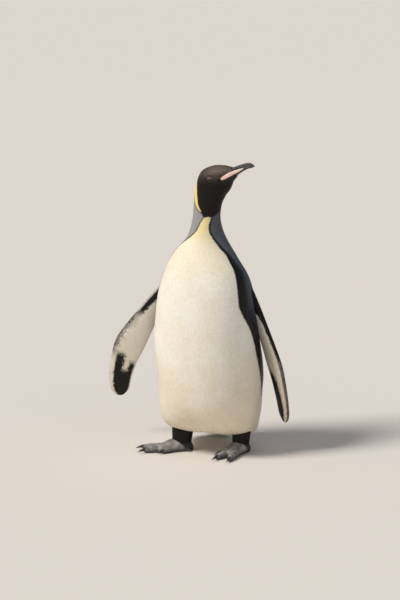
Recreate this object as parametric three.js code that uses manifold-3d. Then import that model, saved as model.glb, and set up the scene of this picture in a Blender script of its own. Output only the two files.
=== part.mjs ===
// A king penguin at rest on both feet, life size, in millimetres, +Z up.
// The bird faces -Y, its left side is +X, and it looks over its left side, so the head and bill
// point towards +X. The trunk, neck and head are one lofted body parted by thin cuts. The flippers,
// legs, tail, feet, bill and claws are lofts of their own, trimmed to leave a hairline gap.
import * as THREE from 'three';
import { mergeVertices } from 'three/addons/utils/BufferGeometryUtils.js';
import Module from 'manifold-3d';

const wasm = await Module();
wasm.setup();

// ---- Driving dimensions ----

const gap = 0.4;                          // hairline between two neighbouring pieces
const cutThickness = 0.5;                 // the saw cut that parts trunk, neck and head
const neckAxis = [ - 4, - 18 ];           // plan position of the upright line that the neck follows
const neckCut = { height: 615, slope: 0 };
const headCut = { height: 752, slope: 10 };

// Rings of the body from the rump to the base of the bill. Each ring runs from a front point to a
// back point, both as [forward of the neck axis, height]. It has a half width, a shift to the bird's
// left, a fullness (2 is an ellipse, more is squarer) and the turn of its plane to the left in degrees.
const bodyRings = [
  // front     back        half width  shift  fullness  turn
  [ - 102, 54, - 122, 56, 34, 2, 2.2, 4 ],
  [ - 84, 51, - 125, 57, 104, 4, 2.9, 4 ],
  [ - 40, 48, - 127, 58, 124, - 1, 3.4, 4 ],
  [ 8, 56, - 131, 86, 130, 2, 3.6, 4 ],
  [ 50, 68, - 141, 144, 140, 2, 3.3, 4 ],
  [ 98, 95, - 149, 206, 146, 4, 2.8, 4 ],
  [ 132, 152, - 154, 259, 152, 8, 2.35, 4 ],
  [ 143, 230, - 151, 300, 153, 7, 2.2, 3 ],
  [ 143, 320, - 145, 352, 154, - 1, 2.15, 2 ],
  [ 133, 405, - 132, 412, 152, - 1, 2.1, 1 ],
  [ 118, 480, - 114, 470, 144, - 2, 2.1, 0 ],
  [ 98, 545, - 91, 526, 128, - 1, 2.05, 0 ],
  [ 70, 599, - 66, 582, 97, - 5, 2, 2 ],
  [ 51, 643, - 55, 639, 58, - 2, 2, 10 ],
  [ 44, 690, - 45, 688, 42, - 2, 2, 24 ],
  [ 46, 733, - 40, 744, 39, 0, 2, 56 ],
  [ 58, 766, - 33, 792, 39, 0, 2, 82 ],
  [ 71, 784, - 17, 835, 37, 0, 2.05, 87 ],
  [ 78, 797, 17, 854, 30, 0, 2.1, 87 ],
  [ 84, 811, 54, 858, 23, 0, 2.1, 87 ],
  [ 96, 826, 80, 855, 15.5, 0, 2.1, 87 ],
  [ 104, 835, 96, 858, 10.5, 0, 2, 87 ],
];
const bodySteps = 50;
const bodySides = 26;

// The head looks this far to the bird's left, in degrees from straight ahead.
const headTurn = 87;

// Bill rings in the plane of the head, as [forward, height] of the upper and lower point, half width.
const upperBillRings = [
  [ 76, 850, 81, 838.5, 9.5 ],
  [ 98, 859.5, 102.5, 851, 7.6 ],
  [ 115, 866, 118.5, 855.5, 6 ],
  [ 132, 871, 134.5, 860, 4.8 ],
  [ 143, 870, 143.5, 860.5, 3.8 ],
  [ 150, 866.5, 149.5, 859.5, 2.8 ],
  [ 154, 862.5, 153.2, 860.2, 1.2 ],
];
const lowerBillRings = [
  [ 81.4, 837.6, 92, 827, 8 ],
  [ 102.9, 850.4, 109.5, 839.6, 7.2 ],
  [ 118.7, 855.9, 122.5, 848, 5.4 ],
  [ 134.7, 860.5, 137, 854.6, 3.8 ],
  [ 146.6, 860.7, 147.4, 857.2, 2 ],
];

// The bare plate on each side of the lower bill: [forward, height, half height, outer reach].
const plateRings = [
  [ 58, 820.8, 4, 27.1 ],
  [ 67, 826, 4.9, 25.2 ],
  [ 80, 834.2, 5.2, 20.3 ],
  [ 94, 841.6, 4.6, 14 ],
  [ 107, 847.6, 3.4, 9.6 ],
  [ 121, 854.6, 1, 6.3 ],
];
const plateThickness = 3.2;
const plateRise = 27;                     // slope of the plate along the bill, in degrees

const eyeRadius = 11;
const eyeForward = 25;
const eyeHeight = 821;
const eyeOut = 24.7;                      // of the eyeball's centre from the middle of the head

// Flippers: a path from inside the shoulder to the tip, and the heading of the leading edge in
// degrees, 0 straight ahead and 90 to the flipper's own side.
const flippers = {
  right: {
    path: [ [ - 96, 0, 520 ], [ - 195, - 10, 425 ], [ - 305, - 12, 280 ], [ - 317, 34, 124 ] ],
    heading: - 71,
  },
  left: {
    path: [ [ 97, 0, 530 ], [ 160, 10, 405 ], [ 209, 36, 250 ], [ 213, 58, 92 ] ],
    heading: 54,
  },
};
// Flipper rings along the path: [reach to leading edge, reach to trailing edge, half thickness].
const flipperRings = [
  [ 20, 20, 15 ],
  [ 22, 24, 13.5 ],
  [ 24, 30, 12 ],
  [ 27, 37, 10.5 ],
  [ 35, 43, 9.2 ],
  [ 43, 45, 8 ],
  [ 38, 38, 7 ],
  [ 33, 32, 5.6 ],
  [ 26, 26, 4.4 ],
];
const flipperTip = 0.93;                  // beyond this part of its path the outline rounds off

// Legs: plan position of each ankle and the heading of each foot in degrees, as for the flippers.
const legs = {
  right: { ankle: [ - 70, - 46 ], heading: - 49 },
  left: { ankle: [ 97, 6 ], heading: - 12 },
};
// Leg rings from thigh to ankle: [height, forward, half length, half width].
const legRings = [
  [ 150, - 8, 34, 28 ],
  [ 110, - 6, 36, 30 ],
  [ 75, - 2, 34, 27 ],
  [ 50, 1, 31, 24 ],
  [ 26, 3, 29, 22 ],
];

// Toes in the frame of the foot: heading, length to the claw, half width and height at the root.
const toes = {
  inner: { heading: - 22, length: 77, halfWidth: 12, height: 24 },
  middle: { heading: - 2, length: 122, halfWidth: 12.5, height: 27 },
  outer: { heading: 18, length: 122, halfWidth: 12, height: 26 },
  hind: { heading: - 118, length: 31, halfWidth: 6.5, height: 13 },
};
const toeRootX = - 12;                    // the toes spring from behind the front of the ankle
const toeTaper = 0.3;
const toeMiddle = 0.42;                   // height of a toe's axis as a part of the toe's height
const toeBlunt = 0.85;                    // beyond this part of its length a toe rounds off
// The instep, from the heel forward over the roots of the toes: [forward, half width, height].
const instepRings = [
  [ - 30, 11, 18 ],
  [ - 17, 20, 34 ],
  [ 6, 23, 43 ],
  [ 32, 25, 37 ],
  [ 58, 27, 27 ],
  [ 78, 22, 17 ],
];
const instepMiddle = 0.36;                // height of the instep's widest line, a part of its height
const web = { reach: 0.66, dip: 0.46, low: 1.5, thickness: 5 };
const claw = { length: 27, radius: 5.4, flatness: 0.8, drop: 6.3, point: 0.12, rooted: 8, rise: 3 };
const hindClawScale = 0.5;

// Tail rings from inside the rump to the tip: [forward, height, half width, half thickness].
const tailRings = [
  [ - 108, 110, 38, 22 ],
  [ - 132, 78, 44, 20 ],
  [ - 152, 44, 46, 14 ],
  [ - 167, 18, 44, 8 ],
  [ - 176, 2, 40, 4 ],
];
const tailTurn = 14;

const colours = {
  white: '#eee6d6', black: '#221d1c', hood: '#2a2321', leg: '#352b2b', foot: '#5d5b5e',
  claw: '#2b2828', horn: '#3c3d42', plate: '#ebc3b4', eye: '#3a2417',
};

// ---- Geometry helpers ----

// Uniform Catmull-Rom through rows of numbers, u from 0 at the first row to 1 at the last.
function rowAt( rows, u ) {
  const spans = rows.length - 1;
  const span = Math.min( Math.floor( u * spans ), spans - 1 );
  const t = u * spans - span;
  const pick = ( k ) => rows[ THREE.MathUtils.clamp( k, 0, spans ) ];
  const [ a, b, c, d ] = [ pick( span - 1 ), pick( span ), pick( span + 1 ), pick( span + 2 ) ];
  return b.map( ( value, k ) => value
    + 0.5 * t * ( c[ k ] - a[ k ]
    + t * ( 2 * a[ k ] - 5 * value + 4 * c[ k ] - d[ k ]
    + t * ( 3 * ( value - c[ k ] ) + d[ k ] - a[ k ] ) ) ) );
}

// The forward direction of a plane turned to the bird's left, in degrees.
function ahead( turn ) {
  const angle = THREE.MathUtils.degToRad( turn );
  return new THREE.Vector3( Math.sin( angle ), - Math.cos( angle ), 0 );
}

// A point in a turned upright plane through the neck axis, given by its forward reach and height.
function inPlane( forward, height, turn ) {
  const point = ahead( turn ).multiplyScalar( forward );
  return point.add( new THREE.Vector3( neckAxis[ 0 ], neckAxis[ 1 ], height ) );
}

// A superellipse: cosine and sine of the angle, swelled towards a square by the fullness.
function swell( angle, fullness ) {
  const power = 2 / fullness;
  const c = Math.cos( angle );
  const s = Math.sin( angle );
  return [ Math.sign( c ) * Math.abs( c ) ** power, Math.sign( s ) * Math.abs( s ) ** power ];
}

// Six times the volume that a closed indexed geometry encloses, negative where its faces point in.
function signedVolume( index, points ) {
  let sum = 0;
  for ( let i = 0; i < index.length; i += 3 ) {
    const [ a, b, c ] = [ points[ index[ i ] ], points[ index[ i + 1 ] ], points[ index[ i + 2 ] ] ];
    sum += a.dot( b.clone().cross( c ) );
  }
  return sum;
}

// How far a bar keeps its width: 1 up to the start, then falling like a quarter of a circle, with
// the floor keeping its last ring open.
function roundOff( u, start, floor ) {
  const past = Math.max( 0, u - start ) / ( 1 - start );
  return Math.sqrt( Math.max( floor, 1 - past * past ) );
}

// Closed surface through a stack of rings that pointAt( u, angle ) gives, with a fan over each end.
// Its faces point out whichever way the rings run.
function loft( steps, sides, pointAt ) {
  const points = [];
  for ( let i = 0; i <= steps; i ++ ) {
    for ( let j = 0; j < sides; j ++ ) points.push( pointAt( i / steps, 2 * Math.PI * j / sides ) );
  }
  const ringCentre = ( first ) => {
    const centre = new THREE.Vector3();
    for ( let j = 0; j < sides; j ++ ) centre.add( points[ first + j ] );
    return centre.divideScalar( sides );
  };
  const lastRing = steps * sides;
  const startPole = points.push( ringCentre( 0 ) ) - 1;
  const endPole = points.push( ringCentre( lastRing ) ) - 1;
  const index = [];
  for ( let j = 0; j < sides; j ++ ) {
    const next = ( j + 1 ) % sides;
    for ( let i = 0; i < steps; i ++ ) {
      const low = i * sides;
      const high = low + sides;
      index.push( low + j, low + next, high + next, low + j, high + next, high + j );
    }
    index.push( startPole, next, j, endPole, lastRing + j, lastRing + next );
  }
  if ( signedVolume( index, points ) < 0 ) index.reverse();
  return new THREE.BufferGeometry().setFromPoints( points ).setIndex( index );
}

// A geometry with only positions, whose faces share their vertices.
function joined( geometry ) {
  const bare = geometry.clone();
  bare.deleteAttribute( 'normal' );
  bare.deleteAttribute( 'uv' );
  return mergeVertices( bare, 1e-4 );
}

// A copy of a closed geometry with its surface moved outwards by a distance.
function inflate( geometry, distance ) {
  const grown = joined( geometry );
  grown.computeVertexNormals();
  const position = grown.attributes.position;
  const normal = grown.attributes.normal;
  for ( let i = 0; i < position.count; i ++ ) {
    const point = new THREE.Vector3().fromBufferAttribute( position, i );
    point.addScaledVector( new THREE.Vector3().fromBufferAttribute( normal, i ), distance );
    position.setXYZ( i, point.x, point.y, point.z );
  }
  return grown;
}

function solidOf( geometry ) {
  const shared = joined( geometry );
  return new wasm.Manifold( new wasm.Mesh( {
    numProp: 3,
    vertProperties: new Float32Array( shared.attributes.position.array ),
    triVerts: new Uint32Array( shared.index.array ),
  } ) );
}

function geometryOf( solid ) {
  const mesh = solid.getMesh();
  return new THREE.BufferGeometry()
    .setAttribute( 'position', new THREE.BufferAttribute( mesh.vertProperties, 3 ) )
    .setIndex( new THREE.BufferAttribute( mesh.triVerts, 1 ) );
}

// The biggest body of a solid, without the crumbs that a cut may leave.
function mainBody( solid ) {
  return solid.decompose().reduce( ( a, b ) => ( a.volume() > b.volume() ? a : b ) );
}

// Places a mesh geometry made in the frame of a limb: x forward, y to the bird's left, z up.
function placeLimb( geometry, heading, [ x, y ] ) {
  const turn = new THREE.Matrix4().makeRotationZ( THREE.MathUtils.degToRad( heading - 90 ) );
  return geometry.clone().applyMatrix4( turn ).translate( x, y, 0 );
}

// ---- Body: trunk, neck and head ----

function bodyPoint( u, angle ) {
  const [ frontX, frontZ, backX, backZ, halfWidth, shift, fullness, turn ] = rowAt( bodyRings, u );
  const front = inPlane( frontX, frontZ, turn );
  const back = inPlane( backX, backZ, turn );
  const centre = front.clone().lerp( back, 0.5 );
  const left = ahead( turn + 90 );
  const [ c, s ] = swell( angle, fullness );
  return centre.clone().addScaledVector( front.sub( centre ), c )
    .addScaledVector( left, shift + halfWidth * s );
}

// A thin flat slab across the neck, tipped forward in the plane that the head looks along.
function sawCut( { height, slope } ) {
  const slab = new THREE.BoxGeometry( 400, 400, cutThickness );
  slab.rotateY( THREE.MathUtils.degToRad( - slope ) );
  return solidOf( slab.translate( neckAxis[ 0 ], neckAxis[ 1 ], height ) );
}

const bodyShape = loft( bodySteps, bodySides, bodyPoint );
const bodyRoom = solidOf( inflate( bodyShape, gap ) );
const bodyPieces = solidOf( bodyShape )
  .subtract( sawCut( neckCut ) )
  .subtract( sawCut( headCut ) )
  .decompose()
  .sort( ( a, b ) => a.boundingBox().max[ 2 ] - b.boundingBox().max[ 2 ] );
const [ trunkSolid, neckSolid, wholeHead ] = bodyPieces;

// ---- Bill, plates and eyes ----

function billShape( rings ) {
  return loft( 9, 10, ( u, angle ) => {
    const [ topX, topZ, lowX, lowZ, halfWidth ] = rowAt( rings, u );
    const top = inPlane( topX, topZ, headTurn );
    const low = inPlane( lowX, lowZ, headTurn );
    const centre = top.clone().lerp( low, 0.5 );
    const [ c, s ] = swell( angle, 2.3 );
    return centre.clone().addScaledVector( low.sub( centre ), c )
      .addScaledVector( ahead( headTurn + 90 ), halfWidth * s );
  } );
}

// side is 1 for the bird's left plate and -1 for its right.
function plateShape( side ) {
  const rise = THREE.MathUtils.degToRad( plateRise );
  return loft( 7, 8, ( u, angle ) => {
    const [ forward, height, halfHeight, reach ] = rowAt( plateRings, u );
    const [ c, s ] = swell( - side * angle, 2.4 );
    const across = c * halfHeight;
    const along = forward - across * Math.sin( rise );
    const out = reach - plateThickness / 2 + s * plateThickness / 2;
    return inPlane( along, height + across * Math.cos( rise ), headTurn )
      .addScaledVector( ahead( headTurn + 90 ), side * out );
  } );
}

function eyeShape( side ) {
  const centre = inPlane( eyeForward, eyeHeight, headTurn )
    .addScaledVector( ahead( headTurn + 90 ), side * eyeOut );
  return new THREE.SphereGeometry( eyeRadius, 14, 8 ).translate( ...centre );
}

const upperBill = billShape( upperBillRings );
const lowerBill = billShape( lowerBillRings );
const plates = { left: plateShape( 1 ), right: plateShape( - 1 ) };
const eyes = { left: eyeShape( 1 ), right: eyeShape( - 1 ) };

const upperBillRoom = solidOf( inflate( upperBill, gap ) );
let headSolid = wholeHead
  .subtract( upperBillRoom )
  .subtract( solidOf( inflate( lowerBill, gap ) ) );
let lowerBillSolid = solidOf( lowerBill ).subtract( upperBillRoom );
for ( const side of [ 'left', 'right' ] ) {
  const plateRoom = solidOf( inflate( plates[ side ], gap ) );
  headSolid = headSolid.subtract( plateRoom ).subtract( solidOf( inflate( eyes[ side ], gap ) ) );
  lowerBillSolid = lowerBillSolid.subtract( plateRoom );
}
// ---- Flippers ----

function flipperShape( { path, heading } ) {
  const curve = new THREE.CubicBezierCurve3( ...path.map( ( p ) => new THREE.Vector3( ...p ) ) );
  const edge = ahead( heading );
  return loft( 18, 12, ( step, angle ) => {
    const u = 1 - ( 1 - step ) ** 1.5;
    const [ lead, trail, halfThickness ] = rowAt( flipperRings, u );
    const round = roundOff( u, flipperTip, 0.04 );
    const along = curve.getTangent( u );
    const toLead = edge.clone().addScaledVector( along, - edge.dot( along ) ).normalize();
    const outwards = new THREE.Vector3().crossVectors( along, toLead );
    const [ c, s ] = swell( angle, 2.2 );
    return curve.getPoint( u )
      .addScaledVector( toLead, c * round * ( c > 0 ? lead : trail ) )
      .addScaledVector( outwards, s * round * halfThickness );
  } );
}

// ---- Tail ----

const tailShape = loft( 6, 12, ( u, angle ) => {
  const [ forward, height, halfWidth, halfThickness ] = rowAt( tailRings, 1 - u );
  const [ c, s ] = swell( angle, 2.4 );
  return inPlane( forward + c * halfThickness * 0.8, height + c * halfThickness * 0.6, tailTurn )
    .addScaledVector( ahead( tailTurn + 90 ), s * halfWidth );
} );

// ---- Legs, feet and claws ----

const floorSlab = solidOf( new THREE.BoxGeometry( 1200, 1200, 100 ).translate( 0, 0, - 50 ) );

function legShape( { ankle, heading } ) {
  const shape = loft( 5, 12, ( u, angle ) => {
    const [ height, forward, halfLength, halfWidth ] = rowAt( legRings, 1 - u );
    const along = forward + halfLength * Math.cos( angle );
    return new THREE.Vector3( along, halfWidth * Math.sin( angle ), height );
  } );
  return placeLimb( shape, heading, ankle );
}

// A toe along its own x axis: a rounded bar that tapers and ends in a blunt pad.
function toeShape( { length, halfWidth, height } ) {
  return loft( 8, 8, ( u, angle ) => {
    const taper = 1 - toeTaper * u;
    const blunt = roundOff( u, toeBlunt, 0.06 );
    const [ c, s ] = swell( angle, 2.3 );
    return new THREE.Vector3(
      toeRootX + u * ( length - toeRootX ),
      - c * halfWidth * taper * blunt,
      height * taper * ( toeMiddle + s * ( 1 - toeMiddle ) * blunt )
    );
  } );
}

// The skin between two toes: a flat sheet whose front edge dips back between them.
function webShape( toeA, toeB ) {
  const tipOf = ( toe ) => new THREE.Vector2( toe.length * web.reach, 0 )
    .rotateAround( new THREE.Vector2(), THREE.MathUtils.degToRad( toe.heading ) );
  const a = tipOf( toeA );
  const b = tipOf( toeB );
  const dip = a.clone().add( b ).multiplyScalar( web.dip );
  const outline = new THREE.Shape().moveTo( 0, 0 ).lineTo( a.x, a.y );
  outline.quadraticCurveTo( dip.x, dip.y, b.x, b.y );
  const sheet = { depth: web.thickness, bevelEnabled: false, curveSegments: 6 };
  return new THREE.ExtrudeGeometry( outline, sheet ).translate( 0, 0, web.low );
}

// A low mound over the roots of the toes, carried below the floor so that its sole is cut flat.
function instepShape() {
  return loft( 8, 12, ( u, angle ) => {
    const [ forward, halfWidth, height ] = rowAt( instepRings, u );
    const middle = instepMiddle * height;
    return new THREE.Vector3(
      forward,
      halfWidth * Math.cos( angle ),
      middle + Math.sin( angle ) * ( height - middle )
    );
  } );
}

// A claw along its own x axis, curving down to a point, with its root inside the toe.
function clawShape( toe, scale ) {
  const rootX = toe.length - claw.rooted * scale;
  const rootZ = toe.height * toeMiddle * ( 1 - toeTaper ) + claw.rise * scale;
  return loft( 5, 6, ( u, angle ) => {
    const radius = claw.radius * scale * Math.max( claw.point, 1 - u ** 1.5 );
    return new THREE.Vector3(
      rootX + u * claw.length * scale,
      - claw.flatness * radius * Math.cos( angle ),
      rootZ - claw.drop * scale * u * u + radius * Math.sin( angle )
    );
  } );
}

function turnedToe( shape, heading ) {
  return shape.rotateZ( THREE.MathUtils.degToRad( heading ) );
}

// Toe headings are to the bird's outer side, so the bird's right foot takes them reversed.
function footSolid( side ) {
  const handed = side === 'left' ? 1 : - 1;
  const { ankle, heading } = legs[ side ];
  const lay = ( shape ) => solidOf( placeLimb( shape, heading, ankle ) );
  const setOf = ( toe ) => ( { ...toe, heading: toe.heading * handed } );
  const [ inner, middle, outer, hind ] = Object.values( toes ).map( setOf );
  let foot = lay( instepShape() );
  for ( const toe of [ inner, middle, outer, hind ] ) {
    foot = foot.add( lay( turnedToe( toeShape( toe ), toe.heading ) ) );
  }
  for ( const [ a, b ] of [ [ inner, middle ], [ middle, outer ] ] ) {
    foot = foot.add( lay( handed > 0 ? webShape( a, b ) : webShape( b, a ) ) );
  }
  return mainBody( foot.subtract( floorSlab ) );
}

function clawSolid( side, name ) {
  const handed = side === 'left' ? 1 : - 1;
  const { ankle, heading } = legs[ side ];
  const toe = toes[ name ];
  const shape = turnedToe( clawShape( toe, name === 'hind' ? hindClawScale : 1 ), toe.heading * handed );
  return solidOf( placeLimb( shape, heading, ankle ) );
}

// ---- Assembly ----

const bird = new THREE.Group();

function addNode( name, solid, color, roughness = 0.8 ) {
  const material = new THREE.MeshStandardMaterial( { color, roughness, metalness: 0 } );
  const mesh = new THREE.Mesh( geometryOf( mainBody( solid ) ), material );
  mesh.name = name;
  bird.add( mesh );
}

const tailSolid = mainBody( solidOf( tailShape ).subtract( bodyRoom ).subtract( floorSlab ) );

addNode( 'trunk', trunkSolid, colours.white );
addNode( 'neck', neckSolid, colours.white );
addNode( 'head', headSolid, colours.hood );
addNode( 'tail', tailSolid, colours.black );
addNode( 'bill_upper', solidOf( upperBill ), colours.horn, 0.4 );
addNode( 'bill_lower', lowerBillSolid, colours.horn, 0.4 );

for ( const side of [ 'left', 'right' ] ) {
  const plateSolid = solidOf( plates[ side ] ).subtract( upperBillRoom );
  addNode( `plate_${ side }`, plateSolid, colours.plate, 0.4 );
  addNode( `eye_${ side }`, solidOf( eyes[ side ] ), colours.eye, 0.1 );
  const flipper = solidOf( flipperShape( flippers[ side ] ) ).subtract( bodyRoom );
  addNode( `flipper_${ side }`, flipper, colours.black );

  const foot = footSolid( side );
  const footRoom = solidOf( inflate( geometryOf( foot ), gap ) );
  const leg = solidOf( legShape( legs[ side ] ) ).subtract( bodyRoom ).subtract( footRoom );
  addNode( `leg_${ side }`, leg, colours.leg );
  addNode( `foot_${ side }`, foot, colours.foot );
  for ( const name of Object.keys( toes ) ) {
    addNode( `claw_${ name }_${ side }`, clawSolid( side, name ).subtract( footRoom ), colours.claw, 0.35 );
  }
}

// The floor is at height 0, and the middle of the bird's box stands over the origin.
const box = new THREE.Box3().setFromObject( bird );
const middle = box.getCenter( new THREE.Vector3() );
bird.position.set( - middle.x, - middle.y, 0 );

export default bird;
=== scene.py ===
# %% [markdown]
# # A king penguin, life size
# The bird stands on both feet, breast towards -Y, and looks over its left side (+X).
# The fixed frame brings the solids of the model. Every piece made here rides on its one body, "root".
# Lengths of the bird's build are written in millimetres, and turned to metres when a mesh is made.

# %% The fixed frame
import math

import bpy
import numpy as np
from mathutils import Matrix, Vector


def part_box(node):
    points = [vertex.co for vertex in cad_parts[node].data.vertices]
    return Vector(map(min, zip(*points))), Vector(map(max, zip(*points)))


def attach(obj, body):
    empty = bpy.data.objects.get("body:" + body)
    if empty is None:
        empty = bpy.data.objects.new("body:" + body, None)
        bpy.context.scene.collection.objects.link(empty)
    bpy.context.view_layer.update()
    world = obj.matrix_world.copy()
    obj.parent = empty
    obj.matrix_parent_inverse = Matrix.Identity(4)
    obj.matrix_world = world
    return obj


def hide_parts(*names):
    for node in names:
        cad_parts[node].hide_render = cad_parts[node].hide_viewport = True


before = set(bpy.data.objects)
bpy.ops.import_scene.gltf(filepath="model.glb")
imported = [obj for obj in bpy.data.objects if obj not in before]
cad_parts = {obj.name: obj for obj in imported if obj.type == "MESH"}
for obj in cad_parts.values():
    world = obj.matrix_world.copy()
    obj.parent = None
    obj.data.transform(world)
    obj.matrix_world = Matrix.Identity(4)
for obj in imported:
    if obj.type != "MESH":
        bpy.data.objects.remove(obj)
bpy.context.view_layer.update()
MM = 0.001
dice = np.random.default_rng(57)

# %% [markdown]
# ## Putting numbers into meshes
# Blender could be asked for primitives and modifiers, but a bird has no straight pieces.
# Each surface is worked out as one array of points instead, and handed over whole with foreach_set,
# which is far quicker than adding vertices one by one.

# %% Mesh from arrays


def put_mesh(name, points, quads=None, tris=None, smooth=True):
    """An object from points in metres and faces given as rows of four or three vertex numbers."""
    quads = np.empty((0, 4), int) if quads is None else quads
    tris = np.empty((0, 3), int) if tris is None else tris
    mesh = bpy.data.meshes.new(name)
    mesh.vertices.add(len(points))
    mesh.vertices.foreach_set("co", np.asarray(points, np.float32).ravel())
    corners = np.concatenate([quads.ravel(), tris.ravel()]).astype(np.int32)
    starts = np.concatenate([np.arange(len(quads)) * 4, quads.size + np.arange(len(tris)) * 3])
    mesh.loops.add(len(corners))
    mesh.loops.foreach_set("vertex_index", corners)
    mesh.polygons.add(len(starts))
    mesh.polygons.foreach_set("loop_start", starts.astype(np.int32))
    mesh.polygons.foreach_set("use_smooth", np.full(len(starts), smooth))
    mesh.update(calc_edges=True)
    mesh.validate()
    piece = bpy.data.objects.new(name, mesh)
    bpy.context.scene.collection.objects.link(piece)
    return piece


# %% Fields of a mesh, read and written


def read_rows(items, field, width, kind=float):
    """One field of a mesh's vertices or corners, as rows of width numbers."""
    values = np.empty(len(items) * width, kind)
    items.foreach_get(field, values)
    return values.reshape(-1, width)


def corners(piece):
    """The vertex number at each corner of the faces."""
    return read_rows(piece.data.loops, "vertex_index", 1, int)[:, 0]


def put_values(piece, label, values, kind="FLOAT_COLOR", domain="POINT"):
    """An attribute that materials can read, from a row of numbers for each vertex or corner."""
    field = {"FLOAT_COLOR": "color", "FLOAT_VECTOR": "vector", "FLOAT": "value"}[kind]
    layer = piece.data.attributes.new(label, kind, domain)
    layer.data.foreach_set(field, np.asarray(values, np.float32).ravel())


# %% Closed shapes


def facing_out(points, quads, tris):
    """The faces of a closed shape, turned round together if they face inwards.

    Six times the enclosed volume is the sum of a . (b x c) over the triangles, so it tells.
    """
    halves = np.concatenate([quads[:, :3], quads[:, [0, 2, 3]], tris])
    a, b, c = (points[halves[:, k]] for k in range(3))
    if (a * np.cross(b, c)).sum() < 0:
        quads, tris = quads[:, ::-1], tris[:, ::-1]
    return points, quads, tris


def with_poles(values):
    """Values on a tube's rings as rows, with those of a pole at the middle of each end added."""
    rows = values.reshape(-1, values.shape[-1])
    return np.concatenate([rows, values[:1].mean(1), values[-1:].mean(1)])


def closed_tube(rings):
    """Points and faces of a tube: quads between its rings, and a fan to a pole at each end."""
    rows, sides = rings.shape[:2]
    ring = np.arange(rows * sides).reshape(rows, sides)
    beside = np.roll(ring, -1, axis=1)
    quads = np.stack([ring[:-1], beside[:-1], beside[1:], ring[1:]], -1).reshape(-1, 4)
    low = np.stack([beside[0], ring[0], np.full(sides, rows * sides)], -1)
    high = np.stack([ring[-1], beside[-1], np.full(sides, rows * sides + 1)], -1)
    return facing_out(with_poles(rings), quads, np.concatenate([low, high]))


def closed_ring(rings):
    """Points and faces of a ring, whose surface closes on itself in both directions."""
    rows, sides = rings.shape[:2]
    ring = np.arange(rows * sides).reshape(rows, sides)
    right, down = np.roll(ring, -1, axis=1), np.roll(ring, -1, axis=0)
    quads = np.stack([ring, right, np.roll(down, -1, axis=1), down], -1).reshape(-1, 4)
    return facing_out(rings.reshape(-1, 3), quads, np.empty((0, 3), int))


def joined(shapes):
    """Several (points, quads, tris) as one, by counting each shape's vertices on from the last."""
    firsts = np.cumsum([0] + [len(points) for points, _, _ in shapes])
    return (
        np.concatenate([points for points, _, _ in shapes]),
        np.concatenate([quads + first for (_, quads, _), first in zip(shapes, firsts)]),
        np.concatenate([tris + first for (_, _, tris), first in zip(shapes, firsts)]),
    )


# %% Curves and steps


def rows_at(rows, u):
    """A smooth curve through rows of numbers, u from 0 at the first to 1 at the last.

    It is the uniform Catmull-Rom curve: between two rows the slope at each of them is half the
    difference of the rows on its two sides. Each column comes back as an array of its own.
    """
    rows = np.asarray(rows, float)
    spans = len(rows) - 1
    span = np.clip((u * spans).astype(int), 0, spans - 1)
    t = (u * spans - span)[..., None]
    a, b, c, d = (rows[np.clip(span + k, 0, spans)] for k in (-1, 0, 1, 2))
    curve = b + 0.5 * t * (c - a + t * (2 * a - 5 * b + 4 * c - d + t * (3 * (b - c) + d - a)))
    return np.moveaxis(curve, -1, 0)


def step(low, high, value):
    """0 up to low, 1 from high on, and a smooth S between. With low above high it falls instead."""
    t = np.clip((value - low) / (high - low), 0, 1)
    return t * t * (3 - 2 * t)


def unit(vectors):
    return vectors / np.maximum(np.linalg.norm(vectors, axis=-1, keepdims=True), 1e-12)


def dot(a, b):
    return (a * b).sum(-1, keepdims=True)


# %% Grids, moves and sections


def ring_angles(sides):
    """Angles in even steps once round, as one row."""
    return np.arange(sides)[None] * (2 * np.pi / sides)


def grid(rows, sides):
    """Parameters of a tube's vertices: u from 0 to 1 down the rows, the angle once round the sides."""
    return np.broadcast_arrays(np.linspace(0, 1, rows)[:, None], ring_angles(sides))


def moved(points, *steps):
    """Points moved along directions. A step is a direction and, for each point, how far along it."""
    for direction, far in steps:
        points = points + direction * far[..., None]
    return points


def turned(x, y, z, degrees):
    """Points from their parts, with x and y turned about the z axis from +x towards +y."""
    turn = math.radians(degrees)
    c, s = math.cos(turn), math.sin(turn)
    return np.stack([x * c - y * s, x * s + y * c, z], -1)


def blunt_end(u, start, least):
    """1 up to start, then down like a quarter of a circle, but never under the root of least."""
    past = np.maximum(0, u - start) / (1 - start)
    return np.sqrt(np.maximum(least, 1 - past * past))


# how square the sections are that swell draws
FULLNESS = {"flipper": 2.2, "tail": 2.4, "toe": 2.3, "web": 2.6, "bill": 2.5, "plate": 2.4}


def swell(angle, fullness):
    """Cosine and sine of an angle, raised to 2/fullness with their signs: 2 gives an ellipse."""
    c, s = np.cos(angle), np.sin(angle)
    power = 2 / fullness
    return np.sign(c) * np.abs(c) ** power, np.sign(s) * np.abs(s) ** power


# %% [markdown]
# ## The body's own map
# Trunk, neck and head are one smooth surface. It could be sculpted, but then the feathers and the
# markings would have no map to be laid out on. So it is a stack of rings: u runs from the rump (0)
# to the base of the bill (1), and the angle runs round from the breast (0) over the bird's left (90
# degrees) to the back (180). The rings turn to the left as they climb the neck, as the bird's does.

# %% Body rings
NECK_AXIS = (-4, -18)
HEAD_TURN = 87
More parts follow.
